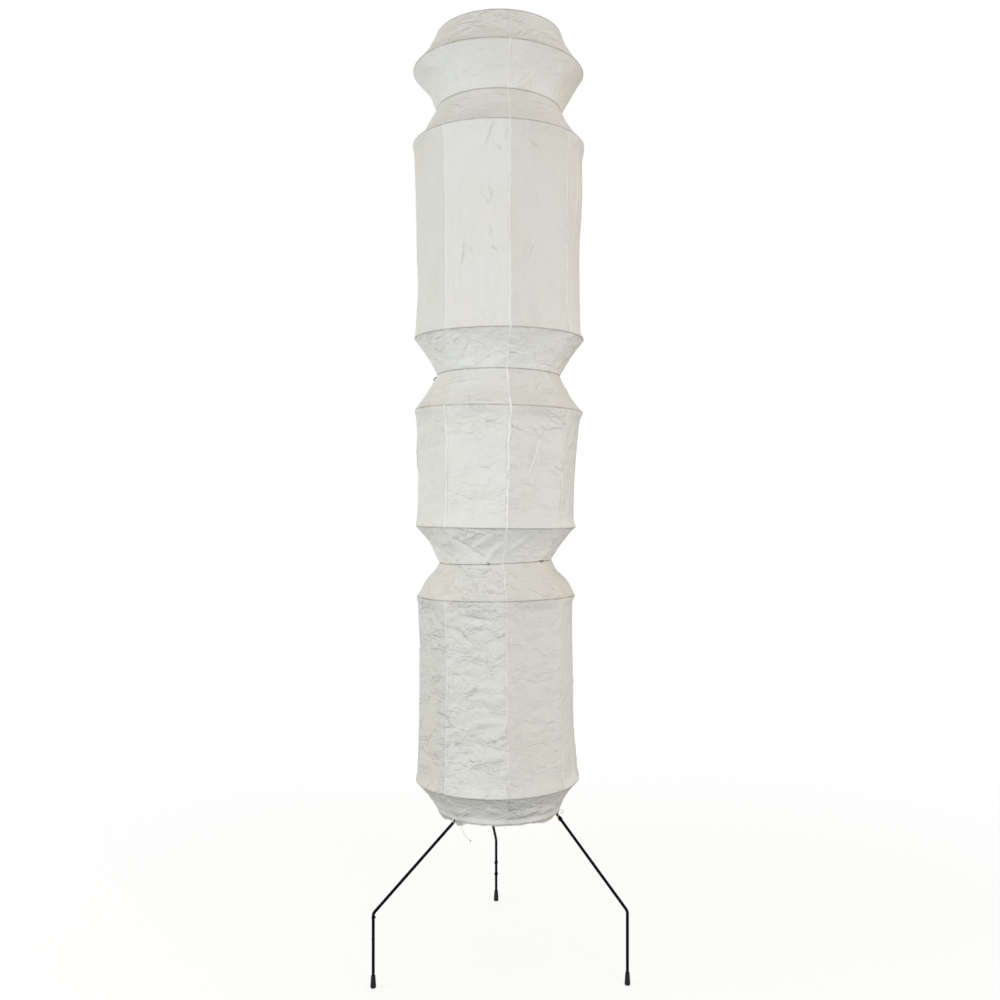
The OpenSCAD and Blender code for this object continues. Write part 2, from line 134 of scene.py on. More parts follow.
class Tree:
    """The node tree of a material or the world. One method adds every node to it."""

    def __init__(self, owner):
        owner.use_nodes = True
        self.nodes, self.links = owner.node_tree.nodes, owner.node_tree.links

    def plug(self, socket, value):
        if isinstance(value, Amount):
            value = value.socket
        if isinstance(value, bpy.types.NodeSocket):
            self.links.new(value, socket)
        else:
            socket.default_value = value

    def add(self, kind, settings=None, values=None):
        """A node of a kind, its settings, and its sockets' values or links by name or place."""
        node = self.nodes.new("ShaderNode" + kind)
        for name, value in (settings or {}).items():
            setattr(node, name, value)
        for name, value in (values or {}).items():
            self.plug(node.inputs[name], value)
        return node

    def blend(self, a, b, share):
        """Colour a, going over to colour b as share goes from 0 to 1."""
        node = self.add("Mix", {"data_type": "RGBA"}, {0: share, 6: a, 7: b})
        return node.outputs[2]

    def seen(self):
        """1 for the rays that show the thing itself, and 0 for those that only light others."""
        path = self.add("LightPath").outputs
        seen, *others = (Amount(self, path["Is " + kind + " Ray"])
                         for kind in ("Camera", "Glossy", "Transmission"))
        for other in others:
            seen = seen.sum("MAXIMUM", seen, other)
        return seen


class Finish(Tree):
    """A material. Its sockets are set by name."""

    def __init__(self, name, **sockets):
        self.name, self.material = name, bpy.data.materials.new(name)
        super().__init__(self.material)
        self.shader = self.nodes["Principled BSDF"]
        self.place = self.add("TexCoord").outputs["Object"]
        for socket, value in sockets.items():
            self.set(socket.replace("_", " "), value)

    def set(self, socket, value):
        self.plug(self.shader.inputs[socket], value)

    def noise(self, scale, detail=2, distortion=0, at=None):
        values = {"Vector": at or self.place, "Scale": scale, "Detail": detail,
                  "Distortion": distortion}
        return Amount(self, self.add("TexNoise", None, values).outputs[0])

    def stretched(self, x, y, z):
        """The surface's place with its three directions scaled."""
        node = self.add("Mapping", None, {"Vector": self.place, "Scale": (x, y, z)})
        return node.outputs[0]

    def cells(self, scale, feature="F1", at=None):
        values = {"Vector": at or self.place, "Scale": scale}
        node = self.add("TexVoronoi", {"feature": feature}, values)
        return Amount(self, node.outputs["Distance"])

    def painted(self, name):
        """A number that the piece's own mesh carries."""
        return Amount(self, self.add("Attribute", {"attribute_name": name}).outputs["Fac"])

    def bump(self, height, depth_mm, strength=1.0):
        values = {"Height": height, "Distance": depth_mm * MM, "Strength": strength}
        self.set("Normal", self.add("Bump", None, values).outputs[0])


def grey(level, warmth=0.0):
    """A grey of that level, yellower as warmth rises."""
    return (level, level * (1 - 0.35 * warmth), level * (1 - warmth), 1)


PAPER_COLOURS = {
    "white": (0.770, 0.775, 0.757),
    "cream": (0.765, 0.753, 0.713),
    "thin": (0.722, 0.718, 0.680),
    "strand": (0.825, 0.825, 0.805),
    "hair": (0.685, 0.670, 0.620),
    "bark": (0.46, 0.40, 0.31),
    # Dust together with painted shade, by band and by gore
    "dust": (0.560, 0.545, 0.500),
    "lap": (0.890, 0.890, 0.874),
    # The hem's double paper, lighter still with painted light
    "hem": (0.930, 0.930, 0.918),
    # A painted shadow line along each lap's cut edge
    "lap_edge_shadow": (0.520, 0.510, 0.475),
    # A ring's wire showing through, with painted shade along the crease over it
    "wire": (0.270, 0.240, 0.198),
    # A painted highlight and a painted shade to the two sides of each fold
    "worn": (0.880, 0.880, 0.868),
    "painted_crease_shade": (0.520, 0.500, 0.455),
}
# Half the width of the sharp ridge along a fold. A painted highlight line and a painted shade
# line lie to its two sides, this share of that off, and show this clearly
FOLD_HALF, CREASE_OFF = 1.6, 0.6
CREASE_HIGHLIGHT, CREASE_SHADE = 0.8, 0.3
# Folds taller than this are broader by as much
BROAD_FROM = 3.6
# How deep the paper's grain, its fine folds and the ridges of its placed folds are, in mm
GRAIN_DEEP, FINE_DEEP, RIDGE_DEEP = 0.3, 12, 1.1


def paper_finish():
    """Mulberry paper: long pale fibres, cloudy thickness, dust with painted shade that differs by
    band and gore, a thin dark line where the wire shows through with painted shade along it,
    painted shadow lines by the laps, painted highlight and shade beside folds, and a hem band made
    lighter partly with painted light."""
    finish = Finish("shade_paper", Roughness=0.85, Specular_IOR_Level=0.2)
    strands = finish.noise(120, 1, 3.2).away_from(0.5).above(0.012, 0.010)
    hairs = finish.noise(210, 1, 4.0).away_from(0.5).above(0.010, 0.008)
    bark = (1 - finish.cells(95).above(0.10, 0.03)) * finish.noise(40, 2).above(0.62, 0.03)
    patchy = finish.noise(34, 2).above(0.46, 0.2) * 0.6 + 0.25
    broken = finish.noise(60, 2).above(0.5, 0.15)
    through = finish.noise(45, 2).above(0.40, 0.25) * 0.5 + 0.5
    side, rise = finish.painted("fold_side") / FOLD_HALF, finish.painted("fold_rise")
    layers = {
        "cream": finish.noise(7, 4).above(0.5, 0.16),
        "thin": finish.noise(26, 3, 0.6).above(0.56, 0.12) * 0.35,
        "strand": (1 - strands) * 0.75,
        "hair": (1 - hairs) * 0.45,
        "bark": bark * 0.5,
        # dust together with painted shade
        "dust": finish.painted("dust"),
        "lap": finish.painted("lap") * patchy,
        # the hem band, partly painted light
        "hem": finish.painted("hem") * (patchy * 0.6 + 0.55),
        # a painted shadow along the laps' cut edges
        "lap_edge_shadow": finish.painted("lap_edge_shadow") * broken * 0.45,
        # the wire showing through, with painted shade along its crease
        "wire": finish.painted("wire_line_and_shade") * through,
        # painted highlight and painted shade to the two sides of each fold
        "worn": (side + CREASE_OFF).tent() * rise * CREASE_HIGHLIGHT,
        "painted_crease_shade": (side - CREASE_OFF).tent() * rise * CREASE_SHADE,
    }
    sheet = (*PAPER_COLOURS["white"], 1)
    for name, share in layers.items():
        sheet = finish.blend(sheet, (*PAPER_COLOURS[name], 1), share)
    finish.set("Base Color", sheet)
    grain = finish.noise(900, 3) * 0.35 + finish.noise(260, 4, 0.5) * 0.65 + (1 - strands) * 0.3
    level, upright = (folds_in(finish, finish.stretched(1, 1, z)) for z in (1.5, 0.3))
    share = finish.painted("upright")
    fine = (level * (1 - share) + upright * share) * finish.painted("crumple")
    finish.bump(grain * GRAIN_DEEP + fine * FINE_DEEP + side.tent() * rise * RIDGE_DEEP, 1.0)
    return finish


def folds_in(finish, place):
    """The flat facets and sharp little folds of paper that has been handled, at three sizes."""
    values = {"Vector": place, "Scale": 11, "Detail": 2}
    sway = finish.add("TexNoise", None, values).outputs["Color"]
    sway = finish.add("VectorMath", {"operation": "SCALE"}, {0: sway, "Scale": 0.035}).outputs[0]
    bent = finish.add("VectorMath", {"operation": "ADD"}, {0: place, 1: sway}).outputs[0]
    broad, narrow = finish.noise(9, 1, at=place), finish.noise(13, 2, at=bent)
    large, middling, small = (finish.cells(scale, "DISTANCE_TO_EDGE", bent)
                              for scale in (13, 31, 75))
    large_ridge = (1 - large.above(0.022, 0.022)) * narrow.above(0.50, 0.06)
    middling_ridge = (1 - middling.above(0.05, 0.05)) * broad.above(0.50, 0.06)
    large = large * broad.above(0.48, 0.2)
    middling = middling * narrow.above(0.50, 0.12)
    small = small * finish.noise(21, 2, at=bent).above(0.54, 0.10)
    wander = finish.noise(24, 2, 0.8, at=place).away_from(0.5)
    lines = large_ridge * 0.10 + middling_ridge * 0.07
    return large + middling * 0.6 + small * 0.3 + wander * 0.35 + lines


def rod_finish():
    """Black paint on steel rod, a little uneven, with a few rubbed spots."""
    finish = Finish("leg_paint", Specular_IOR_Level=0.05)
    worn = finish.noise(70, 4, 0.4).above(0.74, 0.03) * finish.noise(420, 2).above(0.45, 0.1)
    finish.set("Base Color", finish.blend(grey(0.002), grey(0.10, 0.1), worn))
    finish.set("Metallic", worn * 0.6)
    finish.set("Roughness", finish.noise(160, 3) * 0.22 + 0.34)
    finish.bump(finish.noise(320, 3), 0.12, 0.6)
    return finish


def patchy_finish(name, patch, colours, roughness, grain, share=1.0, **sockets):
    """A finish with patches of a second colour, which are rougher. patch holds their noise, level
    and softness, roughness its value off them and its rise on them, and grain the noise, depth
    and strength of the relief. share is how far the second colour comes through."""
    finish = Finish(name, **sockets)
    *noise, level, softness = patch
    patches = finish.noise(*noise).above(level, softness)
    finish.set("Base Color", finish.blend(*colours, patches * share))
    low, rise = roughness
    finish.set("Roughness", patches * rise + low)
    *noise, depth, strength = grain
    finish.bump(finish.noise(*noise), depth, strength)
    return finish


def moulded_finish(name, level, warmth, low_roughness):
    """Moulded plastic or ceramic with a fine orange peel and a little dust."""
    colours = grey(level, warmth), grey(level * 0.86, warmth + 0.08)
    return patchy_finish(name, (45, 4, 0, 0.55, 0.15), colours, (low_roughness, 0.2),
                         (500, 2, 0, 0.05, 0.5))


def metal_finish(name, bright, dull, low_roughness):
    """Bare metal that has gone dull in patches."""
    return patchy_finish(name, (90, 4, 0.5, 0.5, 0.15), (bright, dull), (low_roughness, 0.25),
                         (800, 2, 0, 0.03, 0.5), Metallic=1.0)


def thread_finish():
    """Cotton thread of two twisted plies."""
    finish = Finish("thread", Roughness=0.9)
    twist = finish.noise(500, 2, 1.2)
    finish.set("Base Color", finish.blend(grey(0.66, 0.10), grey(0.46, 0.16), twist))
    finish.bump(twist, 0.25, 0.9)
    return finish


# Scuffed rubber, brown-grey drawn wire with specks of rust, and glossy opal glass
FINISHES = {finish.name: finish for finish in (
    rod_finish(),
    patchy_finish("tip_rubber", (150, 4, 0.5, 0.6, 0.1), (grey(0.006), grey(0.035, 0.15)),
                  (0.68, 0.15), (700, 3, 0, 0.15, 0.7), 0.6, Specular_IOR_Level=0.25),
    moulded_finish("bush_plastic", 0.025, 0.05, 0.45),
    metal_finish("screw_steel", grey(0.56, 0.02), grey(0.30, 0.10), 0.28),
    moulded_finish("lead_plastic", 0.26, 0.03, 0.35),
    moulded_finish("holder_plastic", 0.80, 0.07, 0.26),
    moulded_finish("core_ceramic", 0.84, 0.06, 0.16),
    metal_finish("shell_brass", (0.76, 0.53, 0.22, 1), (0.38, 0.25, 0.11, 1), 0.26),
    metal_finish("cap_aluminium", grey(0.74), grey(0.50, 0.05), 0.27),
    patchy_finish("bulb_glass", (30, 3, 0, 0.5, 0.2), (grey(0.86, 0.02), grey(0.80, 0.05)),
                  (0.22, 0.08), (60, 2, 0, 0.02, 0.3), Coat_Weight=0.6, Coat_Roughness=0.06),
    patchy_finish("ring_wire", (240, 4, 0.6, 0.60, 0.06),
                  (grey(0.20, 0.12), (0.12, 0.065, 0.04, 1)),
                  (0.42, 0.3), (900, 2, 0, 0.08, 0.6), Metallic=0.7),
    paper_finish(),
    thread_finish(),
)}


def dress_cad_nodes():
    for part in frame["record"]["subparts"]:
        slots = frame["nodes"][part["node"]].data.materials
        slots.clear()
        slots.append(FINISHES[part["material_slot"]].material)


dress_cad_nodes()

# ---------------------------------------------------------------- making pieces


def start():
    if bpy.context.object and bpy.context.object.mode != "OBJECT":
        bpy.ops.object.mode_set(mode="OBJECT")
    bpy.ops.object.select_all(action="DESELECT")


def apply_modifier(piece, kind, **settings):
    start()
    bpy.context.view_layer.objects.active = piece
    piece.select_set(True)
    modifier = piece.modifiers.new(kind.lower(), kind)
    for name, value in settings.items():
        setattr(modifier, name, value)
    bpy.ops.object.modifier_apply(modifier=modifier.name)


def settle(piece, name, slot, body, *replaced):
    """A finished piece gets its name, material and body, and stands for CAD nodes."""
    piece.name = piece.data.name = name
    piece.data.materials.clear()
    piece.data.materials.append(FINISHES[slot].material)
    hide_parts(*replaced)
    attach(piece, body)
    return piece


def wire_along(points, diameter, resolution=2):
    """A round wire along points in millimetres, as a closed mesh."""
    start()
    curve = bpy.data.curves.new("wire", "CURVE")
    curve.dimensions = "3D"
    curve.bevel_depth = diameter / 2 * MM
    curve.bevel_resolution = resolution
    curve.use_fill_caps = True
    spline = curve.splines.new("POLY")
    spline.points.add(len(points) - 1)
    for spot, point in zip(spline.points, points):
        spot.co = (*(Vector(point) * MM), 1)
    wire = bpy.data.objects.new("wire", curve)
    bpy.context.scene.collection.objects.link(wire)
    bpy.context.view_layer.objects.active = wire
    wire.select_set(True)
    bpy.ops.object.convert(target="MESH")
    bpy.ops.object.shade_smooth_by_angle(angle=math.radians(50))
    return bpy.context.object


def smooth_line(points, steps):
    """Points on a smooth line through the given ones."""
    points = [np.array(p, float) for p in points]
    line = []
    padded = [2 * points[0] - points[1], *points, 2 * points[-1] - points[-2]]
    for a, b, c, d in zip(padded, padded[1:], padded[2:], padded[3:]):
        for t in np.arange(steps) / steps:
            line.append(0.5 * (2 * b + (c - a) * t + (2 * a - 5 * b + 4 * c - d) * t ** 2
                               + (3 * b - a - 3 * c + d) * t ** 3))
    return line + [points[-1]]


def wrapped(value, whole):
    """A value round a circle, as the one nearest to 0."""
    return (value + whole / 2) % whole - whole / 2


def smooth(share):
    share = np.clip(share, 0, 1)
    return share * share * (3 - 2 * share)


# ---------------------------------------------------------------- rings

# From the top down
RINGS = ["top", "crown", "neck", "shoulder", "upper", "upper_waist", "middle_top", "middle",
         "lower_waist", "lower_top", "lower", "hem"]
PAPERS = ["cap", "crown", "shoulder", "upper", "upper_taper", "middle_flare", "middle",
          "middle_taper", "lower_flare", "lower", "skirt"]
# How far each ring has drifted along X, and how much it rises along X
DRIFTS = {"crown": -1.6, "neck": 0.8, "shoulder": -1.6, "upper_waist": -0.7, "middle_top": -0.5,
          "middle": -6.3, "lower_waist": -7.3, "lower_top": -6.3, "lower": -3.7}
TILTS = {"crown": -0.012, "neck": -0.010, "shoulder": -0.006, "upper": -0.006,
         "upper_waist": -0.008, "middle_top": -0.016, "middle": -0.006, "lower_waist": 0.025,
         "lower_top": 0.004, "lower": 0.014}
WOBBLE = 0.7
# Paper between the wire and the shade's outside
PAPER_T = 0.4


def node_points(name):
    mesh = frame["nodes"][name].data
    points = np.empty(len(mesh.vertices) * 3, np.float32)
    mesh.vertices.foreach_get("co", points)
    return points.reshape(-1, 3) / MM


def paper_edge_radius(paper, top):
    points = node_points("paper_" + paper)
    levels = points[:, 2]
    level = levels.max() if top else levels.min()
    edge = points[np.abs(levels - level) < WOBBLE]
    return np.hypot(edge[:, 0], edge[:, 1]).max()


class Ring:
    """A ring bent by hand: it has drifted, tilts, and isn't quite round or level."""

    def __init__(self, index, name):
        low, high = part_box("ring_" + name)
        self.name = name
        self.z = (low.z + high.z) / 2 / MM
        self.wire_d = (high.z - low.z) / MM
        last = name == "hem"
        self.paper_r = paper_edge_radius(PAPERS[index - 1 if last else index], not last)
        self.drift, self.tilt = DRIFTS.get(name, 0), TILTS.get(name, 0)
        self.turns = draws.uniform(0, TURN, 3)
        self.free = name not in ("top", "hem")
        self.body = "stand" if name == "top" else name + "_hoop"
        self.roll_r = self.wire_d / 2 + PAPER_T

    def radius_at(self, angle):
        return (self.paper_r + WOBBLE * np.sin(2 * angle + self.turns[0])
                + 0.6 * WOBBLE * np.sin(3 * angle + self.turns[1]))

    def level_at(self, angle):
        wave = WOBBLE * np.sin(2 * angle + self.turns[2]) if self.free else 0
        return self.z + self.tilt * self.paper_r * np.cos(angle) + wave

    def wire_point(self, angle, inset=0.0, lift=0.0):
        """A point of the wire's centre line, inset and lifted."""
        r = self.radius_at(angle) - self.roll_r - inset
        return (self.drift + r * math.cos(angle), r * math.sin(angle), self.level_at(angle) + lift)


rings = [Ring(i, name) for i, name in enumerate(RINGS)]
ring_by_name = {ring.name: ring for ring in rings}

RING_STEPS = 120
# The wire's two ends lie side by side along this length
WIRE_LAP = 28
# Where the top ring's wire starts, in degrees, how much further round each next one does, and how
# far apart the middles of two wires side by side are, in the wire's thickness
RING_START, RING_ON, BESIDE = 60, 37, 1.02
# The rings whose wire starts elsewhere, and how far its ends lie side by side
RING_ENDS = {"upper_waist": (176, WIRE_LAP), "lower_waist": (262, 114)}
# Wire ends that have sprung out of the paper, each point as degrees on along the ring, inset
# and lift: at the start of the wire, and at its end
SPRUNG_START = {"upper_waist": [(0, -5.5, -1.5), (0, -10, -5.5), (0, -9.2, -9.5)]}
SPRUNG_END = {"lower_waist": [(1.5, -2.2, 0.5), (3.5, -3.6, 1.0), (5.2, -3.6, -1.5),
                              (7.2, -4.2, 1.8)]}


def make_ring(ring):
    usual = (RING_START + RING_ON * RINGS.index(ring.name), WIRE_LAP)
    start_deg, lap = RING_ENDS.get(ring.name, usual)
    first, lap = math.radians(start_deg), lap / ring.paper_r
    points = []
    for angle in np.linspace(first, first + TURN + lap, RING_STEPS):
        beside = np.clip((angle - first - TURN + lap / 2) / (lap / 2), 0, 1)
        points.append(ring.wire_point(angle, ring.wire_d * BESIDE * smooth(beside)))
    for on, inset, lift in SPRUNG_START.get(ring.name, []):
        points.insert(0, ring.wire_point(first - math.radians(on), inset, lift))
    for on, inset, lift in SPRUNG_END.get(ring.name, []):
        points.append(ring.wire_point(first + TURN + lap + math.radians(on), inset, lift))
    settle(wire_along(points, ring.wire_d, 3), "wire_" + ring.name, "ring_wire", ring.body,
           "ring_" + ring.name)


for ring in rings:
    make_ring(ring)

# ---------------------------------------------------------------- the paper

GORES = 8
SEAM_TURN = math.radians(7.5)
GORE = TURN / GORES
# Between two rings the seams are drawn in and the gores lie flatter
BARRELS = ("upper", "middle", "lower")
BARREL_DRAW, BARREL_FLAT = 6, 1
CONE_DRAW, CONE_FLAT = 2, 0.35
# A barrel's paper does this share of that within a short length of each ring
DRAWN_EARLY, EARLY = 0.35, 24
# Half of a glued lap, in degrees round the shade, its soft edge, how far it stands proud, and
# how far it wanders
LAP_HALF_DEG, LAP_EDGE_DEG, LAP_PROUD, LAP_WANDER_DEG = 0.68, 0.12, 0.75, 0.22
# The painted shadow line along a lap's cut edge, in degrees, the length from a ring in which a
# lap rises to its height, and how much lower it is at its two edges
LAP_SHADOW_LINE_DEG, LAP_FADE, LAP_FALL = 0.35, 4, 0.5
# A seam wanders in waves of three lengths, each between two limits. It takes the paper this many
# degrees to each side along, and starts this far from a ring
STRAY_PITCHES = [(28, 45), (70, 120), (150, 330)]
WANDER_REACH_DEG, WANDER_FROM = 6, 20
# The widths of a placed fold's steep and gentle side, the length from a ring in which folds rise
# to their height, and the share of them that the double paper of a lap or the hem takes away
STEEP_SIDE, GENTLE_SIDE, HELD_FLAT, STIFF = 3.4, 13, 7, 0.6
# A fold tapers at its ends with this power, from this share of its length on, and has its full
# ridge from this height on
TAPER, TAPER_FROM, FULL_RIDGE = 0.6, 0.05, 3
# A random fold's half length, its bend as a share of that, its height as a share of its paper's,
# the ways it can point, and the widths of its steep and gentle side
RANDOM_HALF, RANDOM_BEND, RANDOM_TALL = (5, 22), 0.35, (0.3, 1.0)
RANDOM_WAYS, RANDOM_STEEP, RANDOM_GENTLE = (1, 1, -0.8), (3, 5), (6, 16)
TALLEST = 2.4
# Broad waves: how many, what their sum is divided by, and the counts round the shade and the
# pitches along the drop, on upright paper and on others
WAVES, WAVE_SUM = 7, 3
UPRIGHT_WAVES, OTHER_WAVES = ((14, 60), (250, 900)), ((3, 22), (35, 150))
# How far a ring's dark line, the wire showing through with painted shade along the crease over
# it, reaches to each side, how dark it is, and how much of it and of the fine folds a lap or the
# hem hides
WIRE_LINE_HALF, WIRE_LINE_DARK, LAP_HIDES_WIRE, DOUBLE_HIDES = 1.1, 0.8, 0.85, 0.7
# The length between two points of a paper's mesh, and the radius at which that is taken
GRID, GRID_R = 3.2, 165
# Levels close to a ring, where the paper turns over the wire
NEAR_RING = (0, 0.8, 1.7, 3.0)
# Paper turned in over the top ring and under the hem ring, and the lighter band at the hem,
# whose double paper is made lighter still with painted light
TURN_IN = 9
HEM_BAND, HEM_SOFT = 19, 9
# The hem's band is painted lighter in front, as painted light, this far to each side of a
# direction, in degrees. How clearly its band shows behind, and how much more in front
HEM_LIT, HEM_LIT_HALF = 266, 62
HEM_BEHIND, HEM_IN_FRONT = 0.25, 0.7
# How far the hem hangs below its ring all round, its ripples as their height, count and turn, and
# where it hangs more: the direction and half width in degrees, and the length
HEM_HANG = 1.2
HEM_RIPPLES = [(0.5, 19, 0), (0.4, 31, 1)]
HEM_SAGS = [(208, 14, 5), (229, 15, 7.5), (318, 17, 5), (95, 20, 3), (150, 12, 2.5),
            (20, 14, 2)]
# How much height the cut end of a sloping rod takes up
ROD_END = 6
# Each side of a leg the hem is left open, this far and with this soft edge, in degrees. The
# opening's middle is a little to one side, because the rod leans that way outside it
LEG_GAP, LEG_GAP_EDGE, LEG_GAP_SHIFT = 1.9, 1.6, -0.6

# The gores that show from the front, by their place round from the first seam, and the seams
# between the middle two and to the right of those
FRONT_GORES = [4, 5, 6, 7]
FRONT_SEAM, RIGHT_SEAM = 6, 7
# How a paper looks: its small creases as their count in a square decimetre, their height, their
# lean from level and its spread in degrees; the share of finer folds; the dust with painted
# shade, and how strongly folds show, on each gore in front; and how clearly its seams show, the
# one in front and the one to its right after all others
Look = namedtuple("Look", "creases fine dust pressed seams")
LOOKS = {
    "cap": Look((2.0, 0.9, 20, 35), 0.9, (0.14, 0.18, 0.17, 0.15),
        (0.7, 0.9, 1.1, 1), (0.08, 0.25, 0.08)),
    "crown": Look((0.9, 0.8, 40, 60), 0.55, (0.07, 0.19, 0.05, 0.05),
        (1.2, 0.9, 0.9, 1), (0.05, 0.55, 0.05)),
    "shoulder": Look((1.6, 0.8, 15, 40), 0.62, (0.26, 0.24, 0.26, 0.26),
        (0.95, 0.95, 0.9, 1), (0.05, 0.45, 0.05)),
    "upper": Look((1.3, 0.75, 88, 14), 0.55, (0.28, 0.14, 0.32, 0.06),
        (1, 1, 1.2, 1), (0.45, 0.6, 0.5)),
    "upper_taper": Look((1.5, 0.8, 15, 45), 0.95, (0.1, 0.1, 0.07, 0.05),
        (1, 0.95, 0.9, 1), (0.1, 0.8, 0.1)),
    "middle_flare": Look((1.5, 0.8, 8, 30), 0.72, (0.3, 0.31, 0.42, 0.35),
        (1, 0.9, 1.1, 1), (0.08, 0.9, 0.08)),
    "middle": Look((2.2, 0.8, 25, 70), 0.78, (0.22, 0.12, 0.24, 0.04),
        (0.9, 0.9, 1, 1), (1.15, 1.3, 0.5)),
    "middle_taper": Look((2.6, 1.0, 35, 40), 0.9, (0, 0, 0, 0),
        (1, 0.9, 0.8, 1), (0.15, 0.75, 0.1)),
    "lower_flare": Look((2.2, 0.9, 20, 60), 1.1, (0.46, 0.41, 0.46, 0.42),
        (1, 1.35, 0.85, 0.85), (0.08, 0.6, 0.08)),
    "lower": Look((3.0, 1.1, 5, 40), 1.05, (0.46, 0.32, 0.37, 0.1),
        (1.1, 0.95, 0.6, 0.6), (0.55, 0.5, 0.12)),
    "skirt": Look((2.6, 1.1, 5, 40), 1.0, (0.14, 0.07, 0.36, 0.25),
        (1.2, 0.65, 1, 1), (0.08, 0.25, 0.08)),
}

# Where a paper swells out or is drawn in: the direction and half width in degrees, the height
# above the floor and half height, and how far
SWELLS = {
    "crown": [(187, 40, 1815, 36, -4.5)],
    "shoulder": [(187, 40, 1720, 24, -3.5)],
    "upper": [(2, 32, 1598, 135, 6.5), (184, 32, 1395, 90, -4.5)],
    "middle": [(187, 30, 1046, 70, 4)],
    "middle_taper": [(187, 40, 866, 32, -4.5)],
    "lower_flare": [(187, 40, 790, 34, 4.5), (0, 40, 778, 28, 7)],
    "lower": [(0, 35, 402, 60, 4.5), (0, 35, 600, 110, 3), (187, 30, 655, 60, -2)],
}

